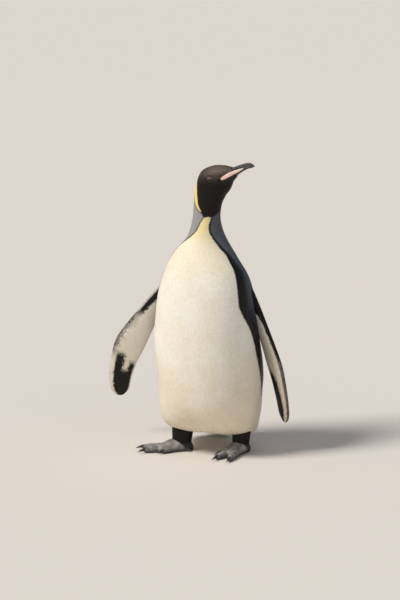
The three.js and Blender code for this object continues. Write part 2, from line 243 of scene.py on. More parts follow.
# front point, back point (forward of the neck axis, height), half width, shift, fullness, turn
BODY_RINGS = (
    (-102, 54, -122, 56, 34, 2, 2.2, 4),
    (-84, 51, -125, 57, 104, 4, 2.9, 4),
    (-40, 48, -127, 58, 124, -1, 3.4, 4),
    (8, 56, -131, 86, 130, 2, 3.6, 4),
    (50, 68, -141, 144, 140, 2, 3.3, 4),
    (98, 95, -149, 206, 146, 4, 2.8, 4),
    (132, 152, -154, 259, 152, 8, 2.35, 4),
    (143, 230, -151, 300, 153, 7, 2.2, 3),
    (143, 320, -145, 352, 154, -1, 2.15, 2),
    (133, 405, -132, 412, 152, -1, 2.1, 1),
    (118, 480, -114, 470, 144, -2, 2.1, 0),
    (98, 545, -91, 526, 128, -1, 2.05, 0),
    (70, 599, -66, 582, 97, -5, 2, 2),
    (51, 643, -55, 639, 58, -2, 2, 10),
    (44, 690, -45, 688, 42, -2, 2, 24),
    (46, 733, -40, 744, 39, 0, 2, 56),
    (58, 766, -33, 792, 39, 0, 2, 82),
    (71, 784, -17, 835, 37, 0, 2.05, 87),
    (78, 797, 17, 854, 30, 0, 2.1, 87),
    (84, 811, 54, 858, 23, 0, 2.1, 87),
    (96, 826, 80, 855, 15.5, 0, 2.1, 87),
    (104, 835, 96, 858, 10.5, 0, 2, 87),
)


def ahead(turn):
    """The forward direction of an upright plane turned to the bird's left, in degrees."""
    turn = np.radians(np.asarray(turn, float))
    return np.stack([np.sin(turn), -np.cos(turn), 0 * turn], -1)


def in_plane(forward, height, turn):
    """A point of a turned upright plane through the neck axis, from its forward reach and height."""
    forward, height = np.asarray(forward, float), np.asarray(height, float)
    foot = np.stack([NECK_AXIS[0] + 0 * height, NECK_AXIS[1] + 0 * height, height], -1)
    return moved(foot, (ahead(turn), forward))


def body_point(u, angle):
    """Centre of the ring, plus its front reach by the cosine and its left reach by the sine."""
    u, angle = np.broadcast_arrays(u, angle)
    front_x, front_z, back_x, back_z, half_width, shift, fullness, turn = rows_at(BODY_RINGS, u)
    front = in_plane(front_x, front_z, turn)
    centre = (front + in_plane(back_x, back_z, turn)) / 2
    c, s = swell(angle, fullness)
    return moved(centre, (front - centre, c), (ahead(turn + 90), shift + half_width * s))


# %% The eyes, and where the build stands
# which way each side lies from the middle, towards the bird's left
HANDS = {"left": 1, "right": -1}
EYE = {"forward": 25, "height": 821, "out": 24.7, "radius": 11}


def eye_frame(side):
    """Centre of an eye in the build, and unit vectors forward along the head and out of it."""
    out = ahead(HEAD_TURN + 90) * HANDS[side]
    return in_plane(EYE["forward"], EYE["height"], HEAD_TURN) + out * EYE["out"], ahead(HEAD_TURN), out


# The solids are placed with the middle of their box over the origin. The left eye says how far.
eye_in_frame = np.mean(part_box("eye_left"), axis=0)
PLACE = np.append((eye_in_frame - eye_frame("left")[0] * MM)[:2], 0)
print("the build stands at", PLACE.round(4))


def placed(points):
    """Points of the build, in millimetres, as points of the frame, in metres."""
    return points * MM + PLACE


# %% Flipper surface
# the four points of each flipper's curve, and the heading of its leading edge in degrees
FLIPPERS = {
    "right": {
        "heading": -71, "path": ((-96, 0, 520), (-195, -10, 425), (-305, -12, 280), (-317, 34, 124)),
    },
    "left": {"heading": 54, "path": ((97, 0, 530), (160, 10, 405), (209, 36, 250), (213, 58, 92))},
}
# reach to the leading edge, reach to the trailing edge, half thickness
FLIPPER_RINGS = (
    (20, 20, 15), (22, 24, 13.5), (24, 30, 12), (27, 37, 10.5), (35, 43, 9.2),
    (43, 45, 8), (38, 38, 7), (33, 32, 5.6), (26, 26, 4.4),
)
FLIPPER_TIP = 0.93


def bezier(path, u):
    """Point and unit direction of the cubic Bezier curve through a path's two ends."""
    p0, p1, p2, p3 = (np.array(p, float) for p in path)
    u = u[..., None]
    v = 1 - u
    point = v ** 3 * p0 + 3 * v * v * u * p1 + 3 * v * u * u * p2 + u ** 3 * p3
    return point, unit(v * v * (p1 - p0) + 2 * v * u * (p2 - p1) + u * u * (p3 - p2))


def flipper_point(side, u, angle, thin=0.0):
    """A flat bar along the curve: leading edge by the cosine, thickness by the sine of the angle.

    Past FLIPPER_TIP the bar narrows like a quarter of a circle. thin takes that much off all round.
    """
    u, angle = np.broadcast_arrays(u, angle)
    point, along = bezier(FLIPPERS[side]["path"], u)
    lead, trail, half = rows_at(FLIPPER_RINGS, u)
    blunt = blunt_end(u, FLIPPER_TIP, 0.04)
    edge = ahead(FLIPPERS[side]["heading"])
    to_lead = unit(edge - along * dot(along, edge))
    out = np.cross(along, to_lead)
    c, s = swell(angle, FULLNESS["flipper"])
    reach = c * (blunt * np.where(c > 0, lead, trail) - thin)
    return moved(point, (to_lead, reach), (out, s * (blunt * half - thin)))


# %% Leg and tail surfaces
LEGS = {"right": {"ankle": (-70, -46), "heading": -49}, "left": {"ankle": (97, 6), "heading": -12}}
# height, forward, half length, half width, from the ankle up
LEG_RINGS = ((26, 3, 29, 22), (50, 1, 31, 24), (75, -2, 34, 27), (110, -6, 36, 30), (150, -8, 34, 28))
# forward, height, half width, half thickness, from the tip up
TAIL_RINGS = (
    (-176, 2, 40, 4), (-167, 18, 44, 8), (-152, 44, 46, 14), (-132, 78, 44, 20), (-108, 110, 38, 22),
)
TAIL_TURN = 14
# forward and upward parts of the direction across the tail's thickness
TAIL_LEAN = (0.8, 0.6)


def limb_place(points, side):
    """From the frame of a leg and foot (x forward, y to the bird's left) to the build."""
    return turned(*np.moveaxis(points, -1, 0), LEGS[side]["heading"] - 90) + (*LEGS[side]["ankle"], 0)


def leg_point(side, u, angle, thin=0.0):
    """An upright elliptical column from the ankle (u = 0) to the thigh (u = 1)."""
    u, angle = np.broadcast_arrays(u, angle)
    height, forward, half_length, half_width = rows_at(LEG_RINGS, u)
    x = forward + (half_length - thin) * np.cos(angle)
    y = (half_width - thin) * np.sin(angle)
    return limb_place(np.stack([x, y, height], -1), side)


def tail_point(u, angle, thin=0.0):
    """A flattened wedge from the tip on the floor (u = 0) up into the rump (u = 1)."""
    u, angle = np.broadcast_arrays(u, angle)
    forward, height, half_width, half_thick = rows_at(TAIL_RINGS, u)
    c, s = swell(angle, FULLNESS["tail"])
    half_thick = np.maximum(half_thick - thin, 0.8)
    offset = c * half_thick
    middle = in_plane(forward + TAIL_LEAN[0] * offset, height + TAIL_LEAN[1] * offset, TAIL_TURN)
    return moved(middle, (ahead(TAIL_TURN + 90), s * (half_width - thin)))


# %% Slopes and normals
# step in u and in angle over which slopes of a surface are measured
SMALL = 1e-3


def slopes(point_at, u, angle):
    """How far a surface's point moves for one step of u and for one of the angle, both ways."""
    along = point_at(u + SMALL, angle) - point_at(u - SMALL, angle)
    around = point_at(u, angle + SMALL) - point_at(u, angle - SMALL)
    return along, around


def outward(point_at, u, angle):
    """Unit normals: the slope round the surface crossed with the slope along it."""
    along, around = slopes(point_at, np.clip(u, SMALL, 1 - SMALL), angle)
    return unit(np.cross(around, along))


# %% [markdown]
# ## Where each colour goes
# A king penguin is white in front with a gold throat, black-brown on the head, slate on the back,
# and a black band runs between slate and white. The marks could be painted on a texture. Here they
# are formulas on the body's map, so that the skin and each feather can ask for their own colour.

# %% Markings of the body
# Half angle of the white front, in degrees from the breast line, at each u of the body.
FRONT_EDGE = (
    (0.08, 168), (0.15, 138), (0.2, 118), (0.235, 101), (0.27, 95), (0.33, 91.5), (0.38, 88),
    (0.4, 83.5), (0.42, 76), (0.44, 69), (0.46, 65), (0.5, 66), (0.54, 69), (0.575, 68), (0.59, 65.5),
    (0.6, 62), (0.61, 53), (0.625, 38), (0.64, 24.5), (0.65, 20.5), (0.67, 17.5), (0.68, 16), (0.7, 15),
)
# Degrees taken off that on the bird's left, where the neck's turn draws the slate forward.
LEFT_TRIM = (
    (0.42, 0), (0.44, 1), (0.46, 2.5), (0.5, 3.5), (0.54, 5.5), (0.575, 9), (0.59, 10.5), (0.6, 10),
    (0.61, 6.5), (0.625, 1.5), (0.64, -1.5), (0.65, -1.5), (0.67, -0.5), (0.68, 0),
)
# Width of the black band behind the edge of the front on each side, in degrees.
BAND_WIDTH = {
    "right": (
        (0.2, 6), (0.27, 14), (0.4, 21), (0.47, 28), (0.54, 24),
        (0.58, 12), (0.61, 6), (0.64, 4.5), (0.7, 4),
    ),
    "left": (
        (0.2, 6), (0.27, 14), (0.4, 21), (0.47, 21), (0.54, 20),
        (0.58, 11), (0.61, 8), (0.64, 7), (0.7, 6),
    ),
}
# Degrees by which the front leans to the right once the neck begins to twist.
FRONT_LEAN = 6.5
# Lowest u of the hood at each angle from the throat, and the lower edge of the gold patch behind it.
HOOD_EDGE = (
    (0, 0.687), (14, 0.684), (30, 0.691), (45, 0.702), (60, 0.71), (80, 0.722), (100, 0.741),
    (120, 0.76), (140, 0.777), (155, 0.783), (180, 0.768),
)
GOLD_EDGE = (
    (0, 0.7), (30, 0.696), (45, 0.7), (60, 0.7045), (80, 0.712), (100, 0.722), (120, 0.734),
    (140, 0.747), (152, 0.758), (164, 0.776), (180, 0.776),
)


# %% Marks from the tables


def read_off(pairs, value):
    """The second numbers of the pairs, looked up along the first by straight lines."""
    first, second = np.array(pairs).T
    return np.interp(value, first, second)


def signed_degrees(angle):
    """An angle in radians as degrees from -180 to 180."""
    return np.degrees((angle + np.pi) % (2 * np.pi) - np.pi)


def body_marks(u, angle):
    """Black, slate, gold and silver of the body, each 0 to 1, as the last axis of an array.

    Every mark is a soft step across a named edge, at an angle folded to 0 to 180 degrees about the
    middle of the front. That middle leans a little to the right where the neck twists. Silver is
    brightest on the nape, and on the bird's left it is dulled by painted shade; glow is the gold of
    the throat.
    """
    degrees = signed_degrees(angle)
    lean = -FRONT_LEAN * step(0.575, 0.6, u)
    side = np.abs(degrees - lean)
    on_left = degrees > 0
    hood_edge = read_off(HOOD_EDGE, side)
    gold_edge = read_off(GOLD_EDGE, side)
    front_edge = read_off(FRONT_EDGE, u) - np.where(degrees > lean, read_off(LEFT_TRIM, u), 0)
    hood = step(-0.001, 0.001, u - hood_edge)
    patch = step(-0.0008, 0.0008, u - gold_edge) * (1 - hood)
    patch = patch * np.where(on_left, step(70, 84, side), step(34, 46, side))
    behind = step(-0.8, 0.8, side - front_edge)
    band_width = np.where(on_left, read_off(BAND_WIDTH["left"], u), read_off(BAND_WIDTH["right"], u))
    fade = np.where(on_left, 0.45, 0.12)
    band = behind * step(1 + fade, 1 - fade, (side - front_edge) / band_width)
    rim = step(0.0034, 0.002, gold_edge - u) * step(24, 34, side) * behind * (1 - patch)
    black = np.maximum(np.maximum(hood, band), rim) * (1 - patch)
    slate = behind * (1 - patch)
    glow = (0.16 * step(0.49, 0.56, u) + 0.5 * step(0.6, 0.66, u)) * (1 - behind) * (1 - hood)
    gold = np.maximum(patch, glow)
    # painted shade: the nape's silver is dulled on the bird's left, the side turned from the light
    left_side_shade = 0.82 * step(135, 80, degrees) * step(-10, 10, degrees)
    silver = slate * step(0.5, 0.635, u) * (1 - left_side_shade)
    return np.stack([black, slate, gold, silver], -1)


# %% Markings of the flippers


def blob(u, t, centre_u, centre_t, half_u, half_t):
    """1 inside an ellipse on the flipper's map, falling to 0 across its edge."""
    r = np.hypot((u - centre_u) / half_u, (t - centre_t) / half_t)
    return step(1.15, 0.85, r)


def flipper_marks(side, u, angle, wobble):
    """The outer face is black with a pale trailing edge. The inner face is white. The right one has a
    black bar inside the leading edge near the body, a worn dark edge half way, and a black fork near
    the tip. The left one has a black leading edge and a dark streak near the tip.

    t is 0 on the leading edge and 180 on the trailing edge of the inner face, in degrees, and
    negative on the outer face. wobble is a number about 0 for each point, and roughens the edges.
    """
    hand = 1 if side == "left" else -1
    t = signed_degrees(hand * angle)
    t = np.where(t < -150, t + 360, t) + 3.5 * wobble
    v = u + 0.006 * wobble
    inner = step(-4, 6, t)
    outer_black = (1 - inner) * (1 - 0.75 * step(172, 184, t))
    if side == "right":
        bar = step(26, 33, t) * step(88, 78, t + 95 * np.maximum(0, v - 0.24))
        bar = bar * step(0.44, 0.36, v - 0.001 * (60 - t))
        # painted sheen: a grey strip of reflected light on the leading edge near the body
        lead_edge_sheen = step(33, 24, t) * step(0.44, 0.4, v) * inner
        edge = step(58, 34, t + 10 * wobble) * step(0.37, 0.41, v) * step(0.78, 0.66, v) * inner
        flecks = 0.4 * blob(v, t, 0.47, 55, 0.05, 26) * step(-0.4, 0.8, wobble)
        mottle = edge * np.clip(0.92 + 0.3 * wobble, 0, 1) + flecks
        front_prong = step(48, 56, t) * step(96, 88, t) * step(0.675, 0.715, v)
        back_prong = step(112, 122, t) * step(160, 152, t) * step(0.715, 0.765, v)
        tip = step(48, 58, t) * step(162, 152, t) * step(0.785, 0.83, v)
        blot = np.maximum.reduce([front_prong, back_prong, tip])
    else:
        bar = step(44, 32, t - 50 * step(0.34, 0.2, v)) * step(0.7, 0.56, v)
        lead_edge_sheen = 0 * t
        edge = step(46, 34, t) * step(0.52, 0.62, v) * inner
        flecks = 0.5 * step(0.8, 1.5, wobble) * step(0.3, 0.5, v) * step(70, 45, t)
        mottle = 0.85 * edge + flecks
        # the last term is painted shade: the inner face goes black near the body, where the flipper
        # meets it
        blot = blob(v, t, 0.85, 119 - 60 * np.maximum(0, v - 0.8), 0.19, 37) + step(0.24, 0.2, v)
    black = np.clip(outer_black + inner * np.maximum.reduce([bar, blot, mottle]), 0, 1)
    slate = 0.7 * lead_edge_sheen * (1 - black)
    return np.stack([black, slate, 0 * t, slate], -1)


def flat_marks(shape):
    """All black, for points whose numbers have this shape."""
    return np.broadcast_to((1.0, 0, 0, 0), tuple(shape) + (4,))


# %% [markdown]
# ## Feet
# A penguin's foot is three long toes joined by web, a small hind toe and a low instep, under scaly
# skin. Each toe alone is a simple tapering bar, but the soft folds where they meet are hard to write
# as a formula. So the bars, webs and instep are laid into each other and a voxel remesh wraps one
# skin round them. Smoothing rounds the folds, and the scales are then pressed in along each toe.

# %% Toes, webs and instep
TOES = {
    "inner": {"heading": -22, "length": 77, "half_width": 12, "height": 24},
    "middle": {"heading": -2, "length": 122, "half_width": 12.5, "height": 27},
    "outer": {"heading": 18, "length": 122, "half_width": 12, "height": 26},
    "hind": {"heading": -118, "length": 31, "half_width": 6.5, "height": 13},
}
TOE_ROOT = -12
TOE_TIP = 0.85
# share of its thickness that a toe loses to its end, share of its height below its middle line
TOE_TAPER = 0.3
TOE_MIDDLE = 0.42
TOE_KNUCKLES = (0.36, 0.6, 0.8)
# Shares of the toes' length, of the web's reach and of its height between them, then millimetres: the
# middle line's height, the top's and the bottom's distance from it, and the folds' height.
WEB = {"reach": 0.66, "dip": 0.42, "sag": 0.45, "middle": 2.4, "top": 4.6, "bottom": 1.4, "fold": 0.35}
# forward, half width, height
INSTEP_RINGS = ((-30, 11, 18), (-17, 20, 34), (6, 23, 43), (32, 25, 37), (58, 27, 27), (78, 22, 17))
INSTEP_MIDDLE = 0.36
FOOT_VOXEL = 1.35 * MM
FOOT_SMOOTHING = 5
# spacing and depth of the grooves between the plates of skin on the toes
SCALE_PITCH = 4.4
GROOVE_DEPTH = 0.55


def toe_shape(toe):
    """A tapering bar with a blunt end, a little thicker at each knuckle."""
    u, angle = grid(48, 24)
    blunt = blunt_end(u, TOE_TIP, 0.06)
    knuckle = sum(np.exp(-((u - at) / 0.06) ** 2) for at in TOE_KNUCKLES)
    taper = 1 - TOE_TAPER * u
    c, s = swell(angle, FULLNESS["toe"])
    x = TOE_ROOT + u * (toe["length"] - TOE_ROOT)
    y = -c * toe["half_width"] * taper * blunt * (0.9 + 0.1 * knuckle)
    z = toe["height"] * taper * (TOE_MIDDLE + s * (1 - TOE_MIDDLE) * blunt * (0.9 + 0.12 * knuckle))
    return turned(x, y, z, toe["heading"])


def web_shape(toe_a, toe_b):
    """A thin folded sheet between two toes. Its front edge dips back, and it sags between them."""
    u, angle = grid(40, 40)
    across, s = swell(angle, FULLNESS["web"])
    a, b = (turned(toe["length"] * WEB["reach"], 0, 0, toe["heading"]) for toe in (toe_a, toe_b))
    share = (1 + across) / 2
    dip = 1 - WEB["dip"] * (1 - across ** 2) * u
    x, y = (u * dip * (a[axis] * (1 - share) + b[axis] * share) for axis in (0, 1))
    sag = 1 - WEB["sag"] * (1 - across ** 2)
    above, below = np.clip(s, 0, 1), np.clip(s, -1, 0)
    z = WEB["middle"] + WEB["top"] * sag * (1 - 0.25 * u) * above + WEB["bottom"] * below
    return np.stack([x, y, z + WEB["fold"] * np.sin(14 * across) * u * above], -1)


def instep_shape():
    """A low mound over the roots of the toes, carried below the floor so that its sole is flat."""
    u, angle = grid(40, 36)
    forward, half_width, height = rows_at(INSTEP_RINGS, u)
    middle = INSTEP_MIDDLE * height
    y = half_width * np.cos(angle)
    return np.stack([forward, y, middle + np.sin(angle) * (height - middle)], -1)


# %% One skin round the foot


def wrapped(shape, voxel, smooth_steps):
    """One skin round overlapping closed shapes: voxel remesh and smoothing, read back as arrays."""
    piece = put_mesh("wrap", *shape)
    remesh = piece.modifiers.new("wrap", "REMESH")
    remesh.mode = "VOXEL"
    remesh.voxel_size = voxel
    smooth = piece.modifiers.new("soften", "SMOOTH")
    smooth.iterations = smooth_steps
    smooth.factor = 0.5
    final = piece.evaluated_get(bpy.context.evaluated_depsgraph_get()).to_mesh()
    points, normals = (read_rows(final.vertices, field, 3) for field in ("co", "normal"))
    quads = read_rows(final.loops, "vertex_index", 1, int).reshape(-1, 4)
    bpy.data.objects.remove(piece)
    return points, normals, quads


def foot_surface():
    """Points, darkness of the skin and quads of a left foot, in its own frame in millimetres.

    On top of each toe the skin is pressed in once every SCALE_PITCH along it, between plates. The
    sole is everything that would be under the floor, moved up to it. The grooves are dark, and the
    heel, behind a slanting line, is painted dark as shade under the body.
    """
    bars = [toe_shape(toe) for toe in TOES.values()]
    webs = [web_shape(TOES["inner"], TOES["middle"]), web_shape(TOES["middle"], TOES["outer"])]
    shapes = [closed_tube(shape * MM) for shape in bars + webs + [instep_shape()]]
    points, normals, quads = wrapped(joined(shapes), FOOT_VOXEL, FOOT_SMOOTHING)
    points = points / MM
    groove = np.zeros(len(points))
    for name in ("inner", "middle", "outer"):
        along, across, _ = turned(*points.T, -TOES[name]["heading"]).T
        on_toe = step(11, 7, np.abs(across)) * step(14, 30, along) * step(0.1, 0.5, normals[:, 2])
        bend = along + 0.03 * across ** 2
        line = np.abs((bend / SCALE_PITCH) % 1 - 0.5) * 2
        groove = np.maximum(groove, on_toe * step(0.55, 0.95, line))
    points = moved(points, (normals, -GROOVE_DEPTH * groove))
    points[:, 2] = np.maximum(points[:, 2], 0)
    # painted shade: the heel, under the body, is darkened behind a slanting line
    heel_shade = step(-7, 5, 0.9 * points[:, 2] - points[:, 0] - 12)
    return points, np.maximum(groove, 1.25 * heel_shade), quads


foot_points, foot_grooves_and_shade, foot_quads = foot_surface()
print("foot:", len(foot_quads), "quads, box", foot_points.min(0).round(1), foot_points.max(0).round(1))

# %% [markdown]
# ## The skin
# One skin carries trunk, neck, head, tail, flippers, legs and feet. Each limb could be left as a mesh
# pushed into the body, but that hides a wall inside. Boolean modifiers with the Manifold solver join
# them into one closed skin in a moment, and keep the marks on the corners of its faces. It lies under
# the solids' outline by the depth of the coat, except on the bare feet.

# %% How the coat changes over the body
# u, row pitch, pitch round, feather length, feather width, coat depth, all in millimetres but u
BODY_COAT = (
    (0.00, 3.5, 2.8, 16, 5.2, 3.0), (0.10, 3.6, 2.7, 18, 5.4, 3.0), (0.55, 3.6, 2.6, 18, 5.2, 3.0),
    (0.64, 3.1, 2.4, 14, 4.6, 2.7), (0.70, 2.5, 1.9, 10, 3.6, 2.2), (0.78, 2.1, 1.6, 8.0, 2.8, 1.8),
    (0.88, 1.8, 1.3, 6.0, 2.2, 1.6), (0.94, 1.5, 1.1, 4.4, 1.8, 2.2), (1.00, 1.4, 1.0, 3.4, 1.5, 4.2),
)


def coat_at(u):
    """Row pitch, pitch round, length, width and depth of the coat at u, by straight lines."""
    table = np.array(BODY_COAT)
    return [np.interp(u, table[:, 0], table[:, k]) for k in range(1, 6)]


def even_rows(point_at, gap_at, low=0.0, high=1.0):
    """Values of u whose rings stand gap_at(u) apart where they are furthest apart."""
    u = np.linspace(low, high, 1600)
    rings = point_at(u[:, None], np.linspace(0, 2 * np.pi, 36, endpoint=False)[None])
    widest = np.linalg.norm(np.diff(rings, axis=0), axis=-1).max(1)
    passed = np.concatenate([[0], np.cumsum(widest / gap_at((u[1:] + u[:-1]) / 2))])
    return np.interp(np.arange(0, passed[-1], 1.0), passed, u)


# %% Eyelids


def ball(centre, radius, rows=24, sides=32):
    """A sphere as a closed tube whose rings stand along the z axis."""
    polar, around = np.broadcast_arrays(np.linspace(0, np.pi, rows + 2)[1:-1, None], ring_angles(sides))
    across = np.sin(polar)
    unit_ball = [across * np.cos(around), across * np.sin(around), np.cos(polar)]
    return np.array(centre) + radius * np.stack(unit_ball, -1)


# The opening's half sizes, drop and tilt in degrees, the hidden edge's reach, the shell's radius and
# thickness, and the height of its folds and of its rim.
LID = {
    "half_length": 6.2, "half_height": 1.3, "low": 2.4, "tilt": 8,
    "reach": 11.3, "radius": 11.75, "thick": 0.55, "fold": 0.16, "rim": 0.25,
}
# the lids' own bare skin: half length and half height of the patch, and its height over the eye
LID_PATCH = {"half_length": 9.4, "half_height": 4.9, "rise": 0.6}


def lid_shape(side):
    """A ring of skin on the eyeball: an almond opening in the middle, thick at its rim.

    The first parameter runs round the opening, the second once round the ring's own flat section:
    its cosine goes from the rim out to the hidden edge, its sine from the inner to the outer face.
    Shallow folds run round the eye on the outer face. The second result is 1 on the bare patch.
    """
    centre, forward, out = eye_frame(side)
    phi, psi = ring_angles(96).T, ring_angles(28)
    share = (1 - np.cos(psi)) / 2
    rim_x = LID["half_length"] * np.cos(phi)
    rim_y = LID["half_height"] * np.sin(phi) * (1 - 0.25 * np.cos(phi) ** 2) - LID["low"]
    x = rim_x * (1 - share) + LID["reach"] * np.cos(phi) * share
    y = rim_y * (1 - share) + LID["reach"] * 0.9 * np.sin(phi) * share
    fold = LID["fold"] * np.cos(share * 22) * step(0.08, 0.3, share) * step(0, 0.5, np.sin(psi))
    rim = LID["rim"] * np.exp(-(share / 0.06) ** 2)
    radius = LID["radius"] + LID["thick"] * np.sin(psi) * (1 - 0.5 * share) + fold + rim
    lift = np.sqrt(np.maximum(radius ** 2 - x ** 2 - y ** 2, 0.5))
    patch = np.hypot(x / LID_PATCH["half_length"], (y - LID_PATCH["rise"]) / LID_PATCH["half_height"])
    x, y, lift = np.moveaxis(turned(x, y, lift, LID["tilt"]), -1, 0)
    return moved(centre, (forward, x), (np.array([0, 0, 1]), y), (out, lift)), step(1.2, 0.74, patch)


# %% Pieces of the skin, with their marks


def skin_part(name, shape, marks, kind):
    """One closed piece of the skin. Its marks and kind (foot, dark, lid) are on the faces' corners."""
    piece = put_mesh(name, *shape)
    put_values(piece, "marks", marks[corners(piece)], domain="CORNER")
    put_values(piece, "kind", kind[corners(piece)], domain="CORNER")
    return piece


# distance between rings of the body's skin, in millimetres, at each u
SKIN_ROWS = ((0, 7), (0.62, 6), (0.74, 2.4), (0.8, 1.5), (1, 1.3))


def body_skin():
    """The body's surface sunk by the coat's depth, finer where the head is."""
    u = even_rows(body_point, lambda v: read_off(SKIN_ROWS, v))
    u, angle = np.broadcast_arrays(u[:, None], ring_angles(150))
    points = moved(body_point(u, angle), (outward(body_point, u, angle), -coat_at(u)[4]))
    marks = with_poles(body_marks(u, angle))
    return skin_part("skin", closed_tube(placed(points)), marks, np.zeros_like(marks))


def limb_pair(name, sides, point_at, marks_at, rows, around):
    """The flippers, the legs or the stump of the tail as one mesh, with a closed tube for each."""
    u, angle = grid(rows, around)
    shapes, marks = [], []
    for side in sides:
        shapes.append(closed_tube(placed(point_at(side, u, angle))))
        marks.append(with_poles(marks_at(side, u, angle)))
    marks = np.concatenate(marks)
    return skin_part(name, joined(shapes), marks, np.zeros_like(marks))


def foot_pair():
    """Both feet: the right one is the left one's mirror image, with its faces turned round."""
    shapes = []
    for side, hand in HANDS.items():
        points = placed(limb_place(foot_points * (1, hand, 1), side))
        shapes.append((points, foot_quads[:, ::hand], np.empty((0, 3), int)))
    dark = np.tile(foot_grooves_and_shade, 2)
    # the second channel holds the grooves' darkness and the painted shade on the heel
    kind = np.stack([np.ones_like(dark), dark, 0 * dark, 0 * dark], -1)
    return skin_part("feet", joined(shapes), np.zeros_like(kind), kind)


def lid_pair():
    lids = [lid_shape(side) for side in HANDS]
    patch = np.concatenate([share.ravel() for _, share in lids])
    kind = np.stack([0 * patch, 0 * patch, patch, 0 * patch], -1)
    return skin_part("lids", joined([closed_ring(placed(shape)) for shape, _ in lids]),
                     flat_marks(patch.shape), kind)


# %% Making the pieces
SIDES = ("right", "left")
# how far the skin of each limb lies under its outline, and where the tail's own stump ends
THIN = {"flipper": 1.3, "leg": 2.5, "tail": 2.0}
TAIL_STUMP = 0.16
SOCKET_ROOM = 0.1

skin = body_skin()
flipper_skin = limb_pair("flippers", SIDES,
                         lambda side, u, a: flipper_point(side, u, a, THIN["flipper"]),
                         lambda side, u, a: flipper_marks(side, u, a, 0 * u), 90, 44)
leg_skin = limb_pair("legs", SIDES, lambda side, u, a: leg_point(side, u, a, THIN["leg"]),
                     lambda side, u, a: flat_marks(u.shape), 30, 36)
tail_skin = limb_pair("stub", ("tail",),
                      lambda side, u, a: tail_point(TAIL_STUMP + (1 - TAIL_STUMP) * u, a, THIN["tail"]),
                      lambda side, u, a: flat_marks(u.shape), 30, 36)
feet_skin, lid_skin = foot_pair(), lid_pair()
sockets_shape = joined(
    [closed_tube(placed(ball(eye_frame(side)[0], EYE["radius"] + SOCKET_ROOM))) for side in HANDS])
unmarked = np.zeros((len(sockets_shape[0]), 4))
sockets = skin_part("sockets", sockets_shape, unmarked, unmarked)

# %% Joining the skin


def join_with(piece, operation, others):
    """Boolean modifiers, applied by taking the mesh that they give, and the cutters removed."""
    for other in others:
        boolean = piece.modifiers.new(other.name, "BOOLEAN")
        boolean.operation = operation
        boolean.solver = "MANIFOLD"
        boolean.object = other
    final = bpy.data.meshes.new_from_object(piece.evaluated_get(bpy.context.evaluated_depsgraph_get()))
    piece.modifiers.clear()
    piece.data = final
    for other in others:
        bpy.data.objects.remove(other)


join_with(skin, "DIFFERENCE", [sockets])
join_with(skin, "UNION", [flipper_skin, tail_skin, leg_skin, feet_skin, lid_skin])
print("skin:", len(skin.data.polygons), "faces")
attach(skin, "root")
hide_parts("trunk", "neck", "head", "tail", "flipper_left", "flipper_right",
            "leg_left", "leg_right", "foot_left", "foot_right")

# %% [markdown]
# ## The coat
# A penguin's feathers are short, stiff and overlap like tiles. Particle hair would be quick, but it
# is not mesh. So each feather is a thin closed vane of twelve triangles, and all of a region's vanes
# are made at once as one array. They stand in rows on the body's map and point the way the coat lies.

# %% Roots of the feathers
# chance in a root's place, in gaps between rows and between the roots of a row
CHANCE = {"along": 0.18, "round": 0.16}
# steps of a sequence of numbers that stay apart, from row to row and round a row
SPREAD = (0.7548777, 0.5698403)
# share of the roots kept where rings stand one pitch apart, over 1 so that few are dropped
COAT_DENSITY = 1.2


def scatter(point_at, pitch_along, pitch_round, low=0.0, high=1.0):
    """Roots in even rows with alternate rows shifted by half a step, and a little chance in each.

    Rings stand one pitch apart where they are furthest apart. Where they are closer, some roots are
    dropped, so that the coat is as dense everywhere: SPREAD gives the roots numbers from 0 to 1 that
    are never alike side by side, and those over the share to keep go. Round a ring the roots are
    spaced by the length of the ring.
    """
    rows = even_rows(point_at, pitch_along, low, high)
    angles = np.linspace(0, 2 * np.pi, 361)
    rings = point_at(rows[:, None], angles[None])
    steps = np.linalg.norm(np.diff(rings, axis=1, prepend=rings[:, :1]), axis=-1)
    passed = np.cumsum(steps, axis=1)
    length = passed[:, -1]
    counts = np.maximum(3, np.round(length / pitch_round(rows))).astype(int)
    row = np.repeat(np.arange(len(rows)), counts)
    place = np.arange(len(row)) - np.repeat(np.cumsum(counts) - counts, counts)
    stray = dice.uniform(-CHANCE["round"], CHANCE["round"], len(row))
    share = (place + 0.5 * (row % 2) + stray) / counts[row] % 1
    # one table for all rings: each one's lengths are set off from the last one's by more than a ring
    apart = length.max() + 1
    flat = (passed + np.arange(len(rows))[:, None] * apart).ravel()
    angle = np.interp(share * length[row] + row * apart, flat, np.tile(angles, len(rows)))
    row_gap = np.gradient(rows)[row]
    u = rows[row] + dice.uniform(-CHANCE["along"], CHANCE["along"], len(row)) * row_gap
    gap = np.linalg.norm(point_at(u + row_gap / 2, angle) - point_at(u - row_gap / 2, angle), axis=-1)
    kept = (row * SPREAD[0] + place * SPREAD[1]) % 1 < gap / pitch_along(u) * COAT_DENSITY
    return u[kept], angle[kept]


# %% A vane's shape
# of the two pairs of edge points: along the vane, half width, and height over the middle line
VANE_EDGES = ((0.5, 1.0, -0.05), (0.88, 0.78, -0.04))
VANE_FACES = np.array([
    (6, 0, 1), (6, 1, 3), (6, 3, 5), (6, 5, 4), (6, 4, 2), (6, 2, 0),
    (7, 1, 0), (7, 3, 1), (7, 5, 3), (7, 4, 5), (7, 2, 4), (7, 0, 2),
])
# of each vertex: its part of the way along the vane, and across it in half widths
VANE_ALONG = np.array([0, 0.5, 0.5, 0.88, 0.88, 1, 0.66, 0.66])
VANE_ACROSS = np.array([0, -1, 1, -0.78, 0.78, 0, 0, 0])
# thickness of a vane's middle in its widths, lean of its normals at the rim, and its patch of the map
VANE_THICK = 0.05
CAMBER = 0.14
TUFT_PATCH = 0.003


# %% Laying the vanes


